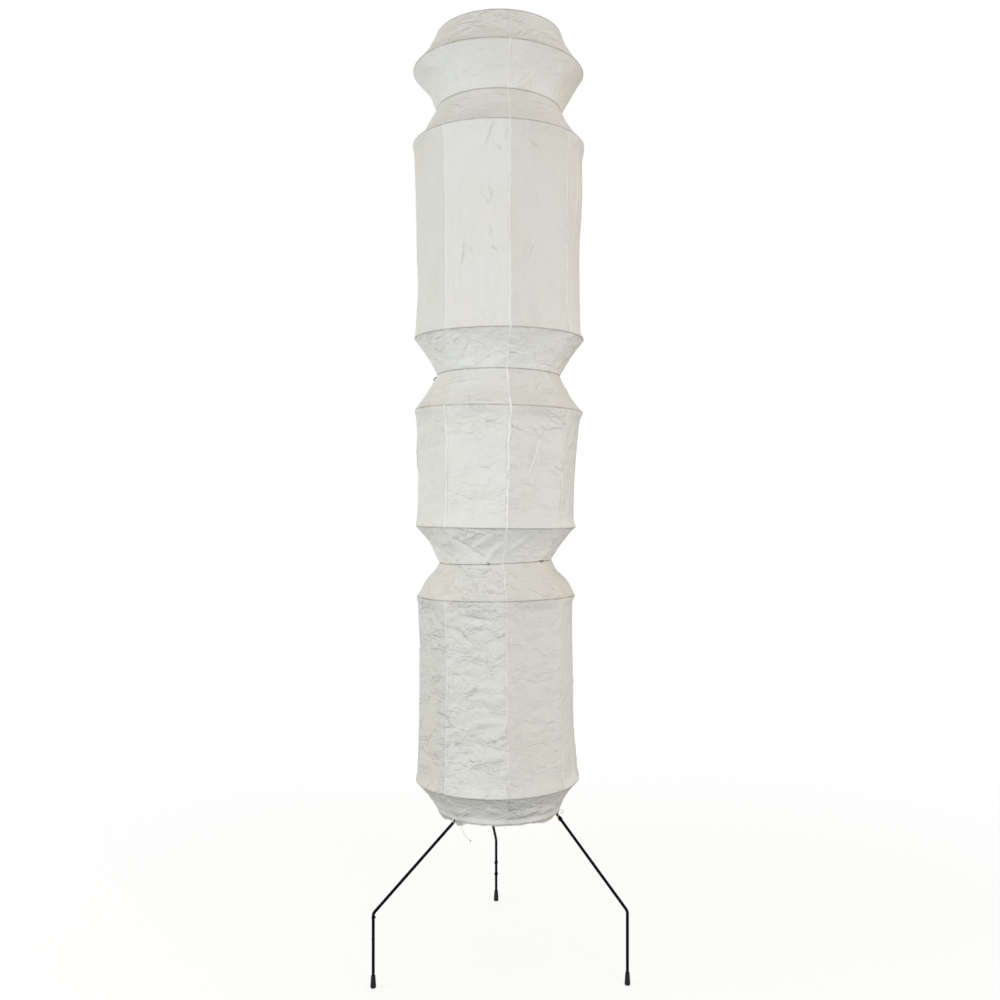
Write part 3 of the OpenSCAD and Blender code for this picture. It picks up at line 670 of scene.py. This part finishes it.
# The folds that show most, each as its height and its line across the front: X, and the
# height above the floor
FOLDS = {
    "cap": [
        (1.6, (-97, 1897), (-37, 1895)), (1.8, (39, 1899), (83, 1880)),
        (1.4, (-79, 1889), (-33, 1882)), (1.4, (-87, 1905), (-57, 1909)),
    ],
    "crown": [
        (3.4, (25, 1774), (41, 1783), (64, 1801)), (1.2, (-63, 1806), (-41, 1798)),
        (1.4, (90, 1803), (100, 1810)),
    ],
    "shoulder": [
        (1.6, (-101, 1743), (-77, 1731)), (1.2, (-23, 1753), (24, 1749)),
        (1.4, (81, 1748), (114, 1736)),
    ],
    "upper": [
        (1.7, (-35, 1694), (-15, 1680), (-29, 1643)), (-1.7, (-6, 1650), (10, 1631)),
        (1.2, (14, 1678), (12, 1652)), (-1.2, (68, 1655), (84, 1648)),
        (2, (-22, 1569), (-19, 1552), (-26, 1534)), (1.7, (-21, 1492), (-18, 1471)),
        (2.3, (-75, 1465), (-77, 1440), (-81, 1414)), (1.4, (-72, 1452), (-53, 1437)),
        (1.9, (-21, 1452), (-2, 1437)), (1.4, (0, 1445), (18, 1454)),
        (1.3, (-86, 1411), (-84, 1361)),
        (1.6, (29, 1432), (34, 1410)), (2.2, (70, 1478), (73, 1456), (62, 1430)),
        (1.9, (31, 1368), (38, 1340)), (1.9, (70, 1356), (78, 1334), (85, 1303)),
        (1.4, (-46, 1326), (-31, 1317)),
    ],
    "upper_taper": [
        (1.4, (-93, 1218), (-57, 1223)), (1.8, (16, 1226), (61, 1245)),
    ],
    "middle_flare": [
        (1.8, (-129, 1177), (-37, 1191)), (1.4, (-57, 1146), (26, 1142)),
        (1.2, (2, 1196), (22, 1185)), (1.2, (75, 1171), (85, 1186)),
    ],
    "middle": [
        (1.2, (-100, 1092), (-72, 1097)), (1.3, (-33, 1045), (-4, 1051), (2, 1057)),
        (-1.5, (-52, 1018), (-23, 1016), (-6, 1028)), (-1.2, (-11, 1103), (-6, 1090)),
        (-0.9, (-96, 1013), (-84, 1013)), (1.2, (-2, 960), (2, 973), (12, 977)),
        (0.9, (-56, 973), (-21, 973)), (-0.8, (-52, 958), (-17, 954)),
        (4.2, (89, 1066), (77, 1032), (67, 1005)), (1.5, (47, 1001), (71, 993)),
        (-1.2, (53, 987), (73, 985)), (1, (25, 1022), (37, 1028)), (1, (117, 1020), (132, 1030)),
        (0.9, (-49, 1077), (-37, 1080)), (1, (103, 948), (113, 938)),
    ],
    "middle_taper": [
        (2.5, (-48, 861), (-6, 887)), (-1.9, (-104, 888), (-61, 863), (-21, 834)),
        (2.6, (-19, 846), (6, 868)), (2.6, (11, 846), (32, 861), (69, 885)),
        (1.8, (-75, 873), (-51, 883), (-33, 889)), (1.4, (-94, 892), (-79, 863)),
    ],
    "lower_flare": [
        (1.8, (-71, 819), (-4, 809)), (-1.6, (-57, 806), (-41, 784)),
        (1.6, (-100, 774), (-73, 801)),
        (2, (67, 772), (84, 761)), (1.4, (28, 804), (45, 792)), (1.2, (-57, 797), (-8, 799)),
        (1.6, (112, 773), (120, 761)), (1.5, (123, 773), (131, 763)), (1.6, (-34, 771), (6, 767)),
    ],
    "lower": [
        (2.2, (-103, 722), (-80, 732), (-53, 739), (12, 744)),
        (-2.6, (-70, 727), (-33, 721), (18, 714)), (-2.6, (-103, 705), (-76, 695), (-47, 666)),
        (2.4, (-61, 700), (-37, 712), (-21, 715), (14, 713)),
        (2.6, (-51, 645), (-34, 651), (-19, 641), (-6, 623)), (-1.4, (-99, 609), (-78, 609)),
        (1.8, (-150, 596), (-109, 611)), (2.8, (-87, 553), (-66, 574), (-53, 586), (-13, 590)),
        (2, (-45, 570), (-23, 561), (10, 549)), (1.4, (-92, 637), (-72, 648)),
        (1.2, (-70, 621), (-41, 625)), (-2.2, (-134, 729), (-105, 699)),
        (1.6, (25, 658), (29, 682), (39, 693)), (1.8, (51, 687), (81, 695), (113, 694)),
        (1.3, (71, 631), (105, 633)), (1.5, (85, 616), (126, 618)), (1.2, (31, 588), (65, 594)),
        (2.8, (-87, 499), (-56, 511), (-29, 520), (14, 521)), (1.8, (-148, 473), (-101, 492)),
        (-2.4, (-134, 526), (-105, 525), (-92, 495)), (2, (-153, 455), (-117, 457)),
        (-1.4, (-84, 455), (-53, 458)), (2, (-31, 454), (-8, 449), (12, 460)),
        (1.8, (-49, 486), (-29, 491), (2, 484)), (1.6, (-109, 423), (-105, 444)),
        (1.6, (-86, 394), (-56, 386)), (1.2, (-17, 427), (2, 433)), (1.8, (8, 497), (22, 515)),
        (-1.2, (12, 478), (8, 491)), (1.5, (-72, 548), (-47, 564)), (1.2, (61, 680), (57, 661)),
        (1.6, (-86, 517), (-68, 529)), (1.4, (-56, 536), (-17, 542)), (1, (105, 519), (122, 539)),
    ],
    "skirt": [
        (2.2, (-100, 335), (-73, 335), (-57, 347)), (-1.6, (-31, 361), (-8, 358), (18, 362)),
        (2.2, (26, 338), (61, 338), (108, 336)), (1.6, (-91, 347), (-104, 360)),
        (1.4, (77, 326), (96, 332)),
    ],
}


def column_angles():
    """Angles round the shade from the first seam back to it, close together at each lap."""
    at_lap = [-LAP_HALF_DEG, -LAP_HALF_DEG / 2, 0, LAP_HALF_DEG / 2, LAP_HALF_DEG]
    outer = LAP_HALF_DEG + LAP_EDGE_DEG
    gore = math.degrees(GORE)
    between = np.linspace(outer, gore - outer, round(gore / math.degrees(GRID / GRID_R)) - 2)
    one = [*at_lap, *between]
    degrees = [g * gore + step for g in range(GORES) for step in one]
    return SEAM_TURN + np.radians([*degrees, GORES * gore - LAP_HALF_DEG])


def row_drops(height):
    """Drops below the upper ring, close together at both rings."""
    near, last = np.array(NEAR_RING), NEAR_RING[-1]
    steps = round((height - 2 * last) / GRID)
    between = np.linspace(last, height - last, steps + 1)[1:-1]
    return np.concatenate([near, between, height - near[::-1]])


class Creases:
    """Folds pressed into a paper. relief is how far they push each point out. side is the
    point's distance from its main fold, less for a tall one, which is broader, and rise how
    sharply that fold stands up there."""

    def __init__(self, around, drop, trip):
        self.around, self.drop, self.trip = around, drop, trip
        self.relief, self.side, self.rise = (np.zeros_like(around) for _ in range(3))

    def add(self, line, tall, width, back_width):
        """A fold along a line, falling straight to nothing at width on one side and at
        back_width on the other, and tapering at the line's ends."""
        lengths = [math.dist(a, b) for a, b in zip(line, line[1:])]
        whole, gone = sum(lengths), 0
        reach = whole + back_width
        x = wrapped(self.around - line[0][0], self.trip)
        near = np.nonzero((np.abs(x) < reach) & (np.abs(self.drop - line[0][1]) < reach))[0]
        best, sides = np.zeros(len(near)), np.zeros(len(near))
        for (a, b), length in zip(zip(line, line[1:]), lengths):
            dx, dy = (b[0] - a[0]) / length, (b[1] - a[1]) / length
            x = wrapped(self.around[near] - a[0], self.trip)
            y = self.drop[near] - a[1]
            along = np.clip(x * dx + y * dy, 0, length)
            side = x * dy - y * dx
            away = np.hypot(x - along * dx, y - along * dy)
            share = np.clip(1 - away / np.where(side > 0, width, back_width), 0, 1)
            on = np.clip((gone + along) / whole, TAPER_FROM, 1 - TAPER_FROM)
            share *= np.sin(math.pi * on) ** TAPER
            nearer = share > best
            best[nearer], sides[nearer] = share[nearer], side[nearer]
            gone += length
        self.relief[near] += tall * best
        stronger = best * abs(tall) > np.abs(self.rise[near])
        self.rise[near[stronger]] = (best * tall)[stronger]
        self.side[near[stronger]] = sides[stronger] / max(1, abs(tall) / BROAD_FROM)

    def add_random(self, height, density, rise, lean, spread):
        """Small folds all over, each with a random place, lean and width."""
        for _ in range(round(density * self.trip * height / 10000)):
            middle = np.array([draws.uniform(0, self.trip), draws.uniform(0, height)])
            angle = math.radians(draws.choice([-1, 1]) * lean + draws.normal(0, spread))
            step = draws.uniform(*RANDOM_HALF) * np.array([math.cos(angle), math.sin(angle)])
            bend = np.array([-step[1], step[0]]) * draws.uniform(-RANDOM_BEND, RANDOM_BEND)
            tall = TALLEST * rise * draws.uniform(*RANDOM_TALL) * draws.choice(RANDOM_WAYS)
            self.add([middle - step, middle + bend, middle + step], tall,
                     draws.uniform(*RANDOM_STEEP), draws.uniform(*RANDOM_GENTLE))


def from_seam(angle):
    """The angle from the nearest seam, less than 0 before it."""
    return wrapped(angle - SEAM_TURN, GORE)


def nearest_seam(angle):
    return np.rint((angle - SEAM_TURN) / GORE) % GORES


def by_gore(angle, values):
    """Each point's value, from those of the four gores in front. The others have the mean."""
    table = np.full(GORES, np.mean(values), float)
    table[FRONT_GORES] = values
    return table[((angle - SEAM_TURN) // GORE).astype(int) % GORES]


def soft_waves(angle, drop, upright, rise):
    """Broad gentle waves, long along the drop where they are upright."""
    relief = np.zeros_like(angle)
    counts, pitches = UPRIGHT_WAVES if upright else OTHER_WAVES
    for _ in range(WAVES):
        count, pitch = draws.integers(*counts), draws.uniform(*pitches)
        relief += np.sin(count * angle + TURN * drop / pitch + draws.uniform(0, TURN))
    return relief * rise / WAVE_SUM


class Band:
    """One length of paper, from its upper ring to its lower one."""

    def __init__(self, index):
        self.name = PAPERS[index]
        self.look = LOOKS[self.name]
        self.upper, self.lower = rings[index], rings[index + 1]
        self.height = self.upper.z - self.lower.z
        barrel = self.name in BARRELS
        self.draw, self.flat = (BARREL_DRAW, BARREL_FLAT) if barrel else (CONE_DRAW, CONE_FLAT)
        self.upright = self.name == "upper"
        self.mean_r = (self.upper.paper_r + self.lower.paper_r) / 2
        self.slope = (self.lower.paper_r - self.upper.paper_r) / self.height
        self.trip = TURN * self.mean_r
        self.strays = [(draws.uniform(*pitches), draws.uniform(0, TURN))
                       for pitches in STRAY_PITCHES]

    def surface(self, angle, share, relief):
        """Points of the smooth paper, pushed out by relief square to it."""
        belly = 4 * share * (1 - share)
        if self.name in BARRELS:
            belly += DRAWN_EARLY * (self.off_rings(share * self.height, EARLY) - belly)
        from_middle = from_seam(angle + GORE / 2)
        seam = (self.upper.radius_at(angle) * (1 - share) + self.lower.radius_at(angle) * share
                - self.draw * belly)
        r = seam * (1 - self.flat * belly * (1 - math.cos(GORE / 2) / np.cos(from_middle)))
        lean = math.hypot(1, self.slope)
        r = r + relief / lean
        x = self.upper.drift * (1 - share) + self.lower.drift * share + r * np.cos(angle)
        z = (self.upper.level_at(angle) * (1 - share) + self.lower.level_at(angle) * share
             + relief * self.slope / lean)
        return np.stack([x, r * np.sin(angle), z], axis=1)

    def off_rings(self, drop, reach):
        """0 at both rings, going over to 1 at a reach from them."""
        return smooth(drop / reach) * smooth((self.height - drop) / reach)

    def creases(self, angle, drop):
        """The folds and waves of the paper, held flat at the rings and stiff at the laps."""
        density, rise, lean, spread = self.look.creases
        creases = Creases(angle * self.mean_r, drop, self.trip)
        creases.add_random(self.height, density, rise, lean, spread)
        for tall, *line in FOLDS[self.name]:
            spots = []
            for x, z in line:
                r = self.upper.paper_r + (self.upper.z - z) * self.slope
                across = (x - self.lower.drift * (self.upper.z - z) / self.height) / r
                spots.append(((TURN - math.acos(np.clip(across, -1, 1))) * self.mean_r,
                              self.upper.z - z))
            creases.add(spots, 2 * tall, STEEP_SIDE, GENTLE_SIDE)
        creases.relief += soft_waves(angle, drop, self.upright, 0.5 * rise)
        for direction, half, level, half_height, far in SWELLS.get(self.name, []):
            off = np.abs(self.upper.z - drop - level) / half_height
            creases.relief += far * smooth(1 - off_by(angle, direction) / half) * smooth(1 - off)
        held = self.off_rings(drop, HELD_FLAT) * by_gore(angle, self.look.pressed)
        held *= (1 - STIFF * self.lap(angle)) * (1 - STIFF * self.hem(drop))
        creases.relief *= held
        creases.rise *= held
        return creases

    def wander(self, angle, drop):
        """How far the seams stray to either side, taking the paper near them along."""
        gore = nearest_seam(angle)
        stray = sum(np.sin(TURN * drop / pitch + 2.4 * gore + turn) for pitch, turn in self.strays)
        near = np.exp(-(np.degrees(from_seam(angle)) / WANDER_REACH_DEG) ** 2)
        return math.radians(LAP_WANDER_DEG) * stray * near * self.off_rings(drop, WANDER_FROM)

    def lap(self, angle):
        """How clearly a seam's glued lap shows, and 0 off the laps."""
        off = (np.degrees(np.abs(from_seam(angle))) - LAP_HALF_DEG) / LAP_EDGE_DEG
        seam = nearest_seam(angle)
        others, front, right = self.look.seams
        clear = np.select([seam == FRONT_SEAM, seam == RIGHT_SEAM], [front, right], others)
        return (1 - smooth(off)) * clear

    def hem(self, drop):
        """1 on the double paper at the hem."""
        if self.name != "skirt":
            return 0 * drop
        return smooth((drop - self.height + HEM_BAND) / HEM_SOFT)

    def lap_edge_shadow(self, angle):
        """1 along the cut edge of each lap, which is on one side only, where a painted shadow
        goes.
        """
        off = np.degrees(from_seam(angle)) + LAP_HALF_DEG + LAP_EDGE_DEG
        return np.exp(-(off / LAP_SHADOW_LINE_DEG) ** 2) * self.look.seams[0]

    def lap_relief(self, angle, drop):
        """A lap stands proud, most along its middle, and fades out at the rings."""
        across = np.clip(np.degrees(np.abs(from_seam(angle))) / LAP_HALF_DEG, 0, 1)
        crest = 1 - LAP_FALL * across ** 2
        return LAP_PROUD * self.lap(angle) * crest * self.off_rings(drop, LAP_FADE)


def rod_at(leg, level):
    """The middle of a leg's rod at a height, and the direction that the rod runs in there."""
    points = node_points(leg)
    over, under = points[points[:, 2] > level], points[points[:, 2] < level]
    over = over[over[:, 2] < over[:, 2].min() + ROD_END].mean(axis=0)
    under = under[under[:, 2] > under[:, 2].max() - ROD_END].mean(axis=0)
    share = (level - under[2]) / (over[2] - under[2])
    return Vector(under + (over - under) * share), Vector(over - under).normalized()


def leg_directions():
    """The three directions in which the legs pass the hem ring, in degrees."""
    middles = [rod_at(leg, rings[-1].z)[0] for leg in ("leg_left", "leg_right", "leg_rear")]
    return [math.degrees(math.atan2(middle.y, middle.x)) % 360 for middle in middles]


def off_by(angle, direction):
    """Degrees between each angle and a direction."""
    return np.abs(wrapped(np.degrees(angle) - direction, 360))


def hem_hang(angle):
    """How far the hem hangs below its ring."""
    hang = np.full_like(angle, HEM_HANG)
    for tall, count, turn in HEM_RIPPLES:
        hang += tall * np.sin(count * angle + turn)
    for direction, half, length in HEM_SAGS:
        hang += length * smooth(1 - off_by(angle, direction) / half)
    return hang


def hem_open(angle):
    """0 where a leg passes the hem, and 1 away from the legs."""
    shares = [smooth((off_by(angle, leg + LEG_GAP_SHIFT) - LEG_GAP) / LEG_GAP_EDGE)
              for leg in leg_directions()]
    return np.minimum.reduce(shares)


def turned_in(band):
    """Rows past a band's open edge, from the edge on: the roll round the wire in radians, and
    the length of the paper beyond it."""
    if band.name not in ("cap", "skirt"):
        return [], []
    rolls = [math.pi * share for share in (0.2, 0.4, 0.6, 0.8, 1, 1, 1)]
    tucks = [0, 0, 0, 0, 0, TURN_IN / 2, TURN_IN]
    return rolls, tucks


def paper_rows(band):
    """The drop, roll and tuck of each row of a band, from the bottom up."""
    drops = row_drops(band.height)
    rolls, tucks = turned_in(band)
    at_top = band.name == "cap"
    edge_drops = np.full(len(rolls), 0 if at_top else band.height)

    def with_edge(paper, edge):
        return np.concatenate([edge[::-1], paper] if at_top else [paper, edge])

    return np.stack([with_edge(drops, edge_drops), with_edge(0 * drops, rolls),
                     with_edge(0 * drops, tucks)], axis=1)[::-1]


def paper_grid(angles, rows):
    """A flat grid with a column for each angle, and each point's angle, drop, roll and tuck."""
    start()
    bpy.ops.mesh.primitive_grid_add(x_subdivisions=len(angles) - 1, y_subdivisions=len(rows) - 1,
                                    size=1)
    paper = bpy.context.object
    flat = np.empty(len(paper.data.vertices) * 3)
    paper.data.vertices.foreach_get("co", flat)
    flat = flat.reshape(-1, 3) + 0.5
    angle = angles[np.rint(flat[:, 0] * (len(angles) - 1)).astype(int)]
    return paper, angle, *rows[np.rint(flat[:, 1] * (len(rows) - 1)).astype(int)].T


def edge_points(band, angle, roll, tuck):
    """Points of the paper that turns over the top wire, or hangs at the hem and turns under."""
    ring, way, hang = band.upper, 1, 0
    if band.name == "skirt":
        ring, way, hang = band.lower, -1, hem_hang(angle) * hem_open(angle)
    r = ring.radius_at(angle) - ring.roll_r + ring.roll_r * np.cos(roll)
    z = ring.level_at(angle) + way * (ring.roll_r * np.sin(roll) - tuck + hang)
    return np.stack([ring.drift + r * np.cos(angle), r * np.sin(angle), z], axis=1)


def paint(paper, band, angle, drop, turned, creases):
    """The numbers that the paper's finish reads at each point. turned is where it's turned in."""
    from_ring = np.minimum(drop, band.height - drop)
    lap, hem = band.lap(angle), band.hem(drop)
    painted = {
        "lap": lap,
        # Lighter double paper at the hem, with painted light that is strongest in front
        "hem": hem * (HEM_BEHIND + HEM_IN_FRONT
                      * smooth(1 - off_by(angle, HEM_LIT) / HEM_LIT_HALF)),
        # The wire showing through, with painted shade along the crease over it
        "wire_line_and_shade": (WIRE_LINE_DARK * np.exp(-(from_ring / WIRE_LINE_HALF) ** 2)
                      * smooth(1 - LAP_HIDES_WIRE * lap) * ~turned),
        # Where a painted shadow lines the laps' cut edges
        "lap_edge_shadow": band.lap_edge_shadow(angle) * (1 - hem),
        # Dust together with painted shade
        "dust": by_gore(angle, band.look.dust) * (1 - hem),
        "crumple": (band.look.fine * by_gore(angle, band.look.pressed)
                    * (1 - DOUBLE_HIDES * lap) * (1 - DOUBLE_HIDES * hem)),
        "upright": np.full_like(drop, band.upright),
        "fold_side": creases.side,
        "fold_rise": np.clip(creases.rise / FULL_RIDGE, -1, 1),
    }
    for name, values in painted.items():
        attribute = paper.data.attributes.new(name, "FLOAT", "POINT")
        attribute.data.foreach_set("value", values.astype(np.float32))


def make_paper(index):
    band = Band(index)
    paper, angle, drop, roll, tuck = paper_grid(column_angles(), paper_rows(band))
    creases = band.creases(angle, drop)
    relief = creases.relief + band.lap_relief(angle, drop)
    points = band.surface(angle + band.wander(angle, drop), drop / band.height, relief)
    at_edge = roll > 0
    if band.name == "skirt":
        roll, tuck = roll * hem_open(angle), tuck * hem_open(angle)
    points[at_edge] = edge_points(band, angle, roll, tuck)[at_edge]
    paper.data.vertices.foreach_set("co", (points * MM).ravel())
    paint(paper, band, angle, drop, roll > 0, creases)

    bpy.ops.object.mode_set(mode="EDIT")
    bpy.ops.mesh.select_all(action="SELECT")
    bpy.ops.mesh.remove_doubles(threshold=0.01 * MM)
    bpy.ops.object.mode_set(mode="OBJECT")
    apply_modifier(paper, "SOLIDIFY", thickness=PAPER_T * MM, offset=-1)
    paper.data.polygons.foreach_set("use_smooth", np.ones(len(paper.data.polygons), bool))
    settle(paper, "gores_" + band.name, "shade_paper", band.lower.body, "paper_" + band.name)
    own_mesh(paper)
    slant = math.hypot(1, band.slope) * band.height
    band.trip * slant * MM * MM


for index in range(len(PAPERS)):
    make_paper(index)

# ---------------------------------------------------------------- ties, threads and wraps

THREAD_D = 1.1
# How far the middle of a wound thread lies off the wire of a tie or the rod of a leg, and a leg's
# turns from one another, in the thread's own thicknesses
TIE_OUT, WRAP_OUT, WRAP_PITCH = 0.6, 0.3, 0.9
# A tie's knot sits here from the tie, on this axis. Knots are small coils
KNOT_AT, KNOT_AXIS = (0, 2.2, -0.8), (0.4, 0.3, 1)
KNOT_R, KNOT_TURNS, KNOT_STEPS = 0.9, 3, 10
TIE_KNOT_PITCH, TAIL_KNOT_PITCH = 0.5, 0.7
# The hem's ties: which leg, the degrees past it, the turns of thread, and where each tie's
# loops and loose ends go from it, along the hem, outwards and up
TIES = [
    ("leg_left", 3.4, 4, [[(0, 2, -2), (-5, 4, -6), (-9, 3, -4)],
                          [(1, 2, -2), (5, 3, -7), (3, 2, -12)]]),
    ("leg_right", -3.4, 5, [[(0, 3, 1), (-1, 5, 4), (0, 9, 4.8), (1, 12.5, 3.5), (1.5, 13.2, 0.8),
                             (1, 11, -1.6), (0.5, 8, -2), (0, 6, -0.5)],
                            [(-1, 3, -3), (-5, 4, -8), (-8, 4, -6)]]),
    ("leg_rear", 3.4, 4, [[(0, 2, -2), (5, 3, -6), (9, 3, -4)], [(0, 2, -3), (-3, 3, -10)]]),
]
# The long loose end at the left tie
TAIL = [(3, 2.5, -1), (9, 3, -2.5), (14, 3.5, -8), (19, 4, -15.5), (25, 5, -21.5), (31, 5.5, -26),
        (37.5, 6, -29), (43.5, 6.5, -31)]
TAIL_D = 1
# Small thread ends that hang from the hem, in degrees round the lamp, and their lengths. The
# looped ones go up to the hem again, this much further round
HEM_ENDS = [(276, 5), (288, 3), (244, 3), (96, 7), (160, 5), (12, 6)]
HEM_LOOPS = [(316.5, 6, 4.2), (303, 3, 1.2), (131, 6, 4)]
HEM_END_D, HEM_LOOP_D = 0.8, 0.9
# A loop's line, as shares of its way round and of its length down
LOOP_LINE = ((0, 0), (-0.1, 0.5), (0.2, 0.9), (0.5, 1), (0.8, 0.9), (1.1, 0.5), (1, 0))
# The dark thread at the lower waist: its degrees on from the wire's start, its inset and lift,
# the coil's radius and turns, and the thread
BINDING_ON_DEG, BINDING_INSET, BINDING_LIFT = 1.5, -1.9, 0.3
BINDING_R, BINDING_TURNS, BINDING_D = 1.7, 4, 1.3
# Black thread wound round the legs: the leg, the height, the turns and the thread
WRAPS = [("leg_rear", 91, 3, 1.7), ("leg_rear", 64, 3, 1.7), ("leg_right", 296, 4, 1.8),
         ("leg_left", 137, 2, 1.6)]


def coil(middle, axis, radius, pitch, turns, steps=14):
    """Points of a coil wound on an axis."""
    axis = Vector(axis).normalized()
    side = axis.orthogonal().normalized()
    other = axis.cross(side)
    points = []
    for i in range(round(turns * steps) + 1):
        turn = TURN * i / steps
        on = (i / steps - turns / 2) * pitch
        points.append(Vector(middle) + axis * on + side * (radius * math.cos(turn))
                      + other * (radius * math.sin(turn)))
    return points


class Tie:
    """A tie's place on the hem wire, with its directions along the hem, outwards and up."""

    def __init__(self, leg, past):
        middle, _ = rod_at(leg, rings[-1].z)
        self.angle = math.atan2(middle.y, middle.x) + math.radians(past)
        self.middle = Vector(rings[-1].wire_point(self.angle))
        self.along = Vector((-math.sin(self.angle), math.cos(self.angle), 0))
        self.out = Vector((math.cos(self.angle), math.sin(self.angle), 0))

    def point(self, along, out, up):
        return self.middle + self.along * along + self.out * out + Vector((0, 0, up))


def join(pieces):
    start()
    for piece in pieces:
        piece.select_set(True)
    bpy.context.view_layer.objects.active = pieces[0]
    bpy.ops.object.join()
    return bpy.context.object


def small_knot(middle, axis, pitch, thread_d):
    return wire_along(coil(middle, axis, KNOT_R, pitch, KNOT_TURNS, KNOT_STEPS), thread_d)


def make_ties():
    threads = []
    for leg, past, turns, ends in TIES:
        tie = Tie(leg, past)
        wound = coil(tie.middle, tie.along, rings[-1].wire_d / 2 + TIE_OUT * THREAD_D, THREAD_D,
                     turns)
        threads.append(wire_along(wound, THREAD_D))
        threads.append(small_knot(tie.point(*KNOT_AT), KNOT_AXIS, TIE_KNOT_PITCH, THREAD_D))
        for end in ends:
            line = smooth_line([tie.point(*spot) for spot in end], 5)
            threads.append(wire_along(line, THREAD_D))
    settle(join(threads), "hem_ties", "thread", "hem_hoop", "hem_knots")


def make_tail():
    """The loose end that hangs free from the left tie, with its own small knot."""
    tie = Tie(*TIES[0][:2])
    path = smooth_line([tie.point(*spot) for spot in TAIL], 4)
    tail = settle(wire_along(path, TAIL_D), "tail_thread", "thread", "hem_hoop")
    knot = small_knot(path[-1], path[-1] - path[-2], TAIL_KNOT_PITCH, TAIL_D)
    settle(knot, "tail_knot", "lead_plastic", "hem_hoop")
    length = sum(math.dist(a, b) for a, b in zip(path, path[1:]))
    length * MM


def make_hem_ends():
    ends, hem = [], rings[-1]
    for direction, length in HEM_ENDS:
        angle = math.radians(direction)
        x, y, z = hem.wire_point(angle, -hem.roll_r, -HEM_HANG - 0.5)
        sway = Vector((math.cos(angle * 7), math.sin(angle * 5), 0))
        line = [Vector((x, y, z + 1)), Vector((x, y, z - 0.4 * length)) + sway,
                Vector((x, y, z - length)) + sway * 0.6 * length]
        ends.append(wire_along(smooth_line(line, 4), HEM_END_D))
    for direction, length, further in HEM_LOOPS:
        loop = []
        for on, down in LOOP_LINE:
            angle = math.radians(direction + on * further)
            loop.append(hem.wire_point(angle, -hem.roll_r, 1 - HEM_HANG - down * length))
        ends.append(wire_along(smooth_line(loop, 4), HEM_LOOP_D))
    settle(join(ends), "hem_thread_ends", "thread", "hem_hoop")


def make_wraps():
    wraps = []
    for leg, level, turns, thread_d in WRAPS:
        middle, axis = rod_at(leg, level)
        points = node_points(leg)
        near = points[np.abs(points[:, 2] - points[:, 2].min()) < ROD_END]
        rod_r = (near[:, 0].max() - near[:, 0].min()) / 2
        wound = coil(middle, axis, rod_r + WRAP_OUT * thread_d, WRAP_PITCH * thread_d, turns)
        wraps.append(wire_along(wound, thread_d))
    settle(join(wraps), "leg_wraps", "leg_paint", "stand")


def make_waist_binding():
    """Dark thread round the lower waist's wires, where it shows through the paper."""
    ring = ring_by_name["lower_waist"]
    angle = math.radians(RING_ENDS[ring.name][0] + BINDING_ON_DEG)
    along = (-math.sin(angle), math.cos(angle), 0)
    middle = ring.wire_point(angle, BINDING_INSET, BINDING_LIFT)
    piece = wire_along(coil(middle, along, BINDING_R, BINDING_D, BINDING_TURNS, 12), BINDING_D)
    settle(piece, "waist_binding", "lead_plastic", ring.body)


make_ties()
make_tail()
make_hem_ends()
make_wraps()
make_waist_binding()

# ---------------------------------------------------------------- the room

FLOOR_SIZE = 14000
# The floor shades from its own tone by the lamp to white further off, at these distances in
# metres, and its glow there
FLOOR_FADE, FLOOR_FADE_SOFT = 1.3, 0.9
NEAR_GLOW = 0.80


def add_floor():
    """A pale floor that keeps the lamp's shadow and goes over into a white background."""
    start()
    bpy.ops.mesh.primitive_plane_add(size=FLOOR_SIZE * MM)
    floor = bpy.context.object
    floor.name = "floor"
    finish = Finish("floor", Roughness=0.95, Base_Color=grey(0.34))
    length = finish.add("VectorMath", {"operation": "LENGTH"}, {0: finish.place}).outputs["Value"]
    far = Amount(finish, length).above(FLOOR_FADE, FLOOR_FADE_SOFT)
    glow = finish.add("Emission", None, {"Strength": 1.0})
    pale = finish.add("BsdfDiffuse", None, {"Color": grey(0.93)})
    shown = finish.add("MixShader", None, {0: far * (1 - NEAR_GLOW) + NEAR_GLOW,
                                           1: pale.outputs[0], 2: glow.outputs[0]})
    both = finish.add("MixShader", None, {0: finish.seen(), 1: finish.shader.outputs[0],
                                          2: shown.outputs[0]})
    finish.plug(finish.nodes["Material Output"].inputs["Surface"], both.outputs[0])
    floor.data.materials.append(finish.material)


# Each soft light's direction round the lamp in degrees from +X, distance, height, size, power
# and colour
LIGHTS = {
    "left": (200, 2400, 1100, 1100, 27, (0.91, 0.98, 1.0)),
    "front_right": (300, 2600, 1100, 1100, 30, (0.85, 0.90, 1.0)),
    "right": (345, 2400, 1500, 1500, 4.8, (1.0, 0.66, 0.10)),
    "back": (95, 2600, 1100, 1500, 18, (0.90, 0.95, 1.0)),
}
WORLD_GREY = (0.657, 0.626, 0.561, 1)


def add_light(name, turn, distance, height, size, watts, colour):
    data = bpy.data.lights.new(name, "AREA")
    data.shape = "DISK"
    data.size = size * MM
    data.energy = watts
    data.color = colour
    turn = math.radians(turn)
    out = Vector((math.cos(turn), math.sin(turn), 0))
    light = bpy.data.objects.new(name, data)
    light.location = (out * distance + Vector((0, 0, height))) * MM
    light.rotation_euler = (-out).to_track_quat("-Z", "Y").to_euler()
    bpy.context.scene.collection.objects.link(light)


def add_world():
    """Soft light from all round, and white wherever the background itself is seen."""
    world = bpy.data.worlds.new("world")
    bpy.context.scene.world = world
    tree = Tree(world)
    sky = tree.blend(WORLD_GREY, (1, 1, 1, 1), tree.seen())
    tree.plug(tree.nodes["Background"].inputs["Color"], sky)


add_floor()
add_world()
for name, settings in LIGHTS.items():
    add_light(name, *settings)

bpy.context.scene.view_settings.view_transform = "Standard"
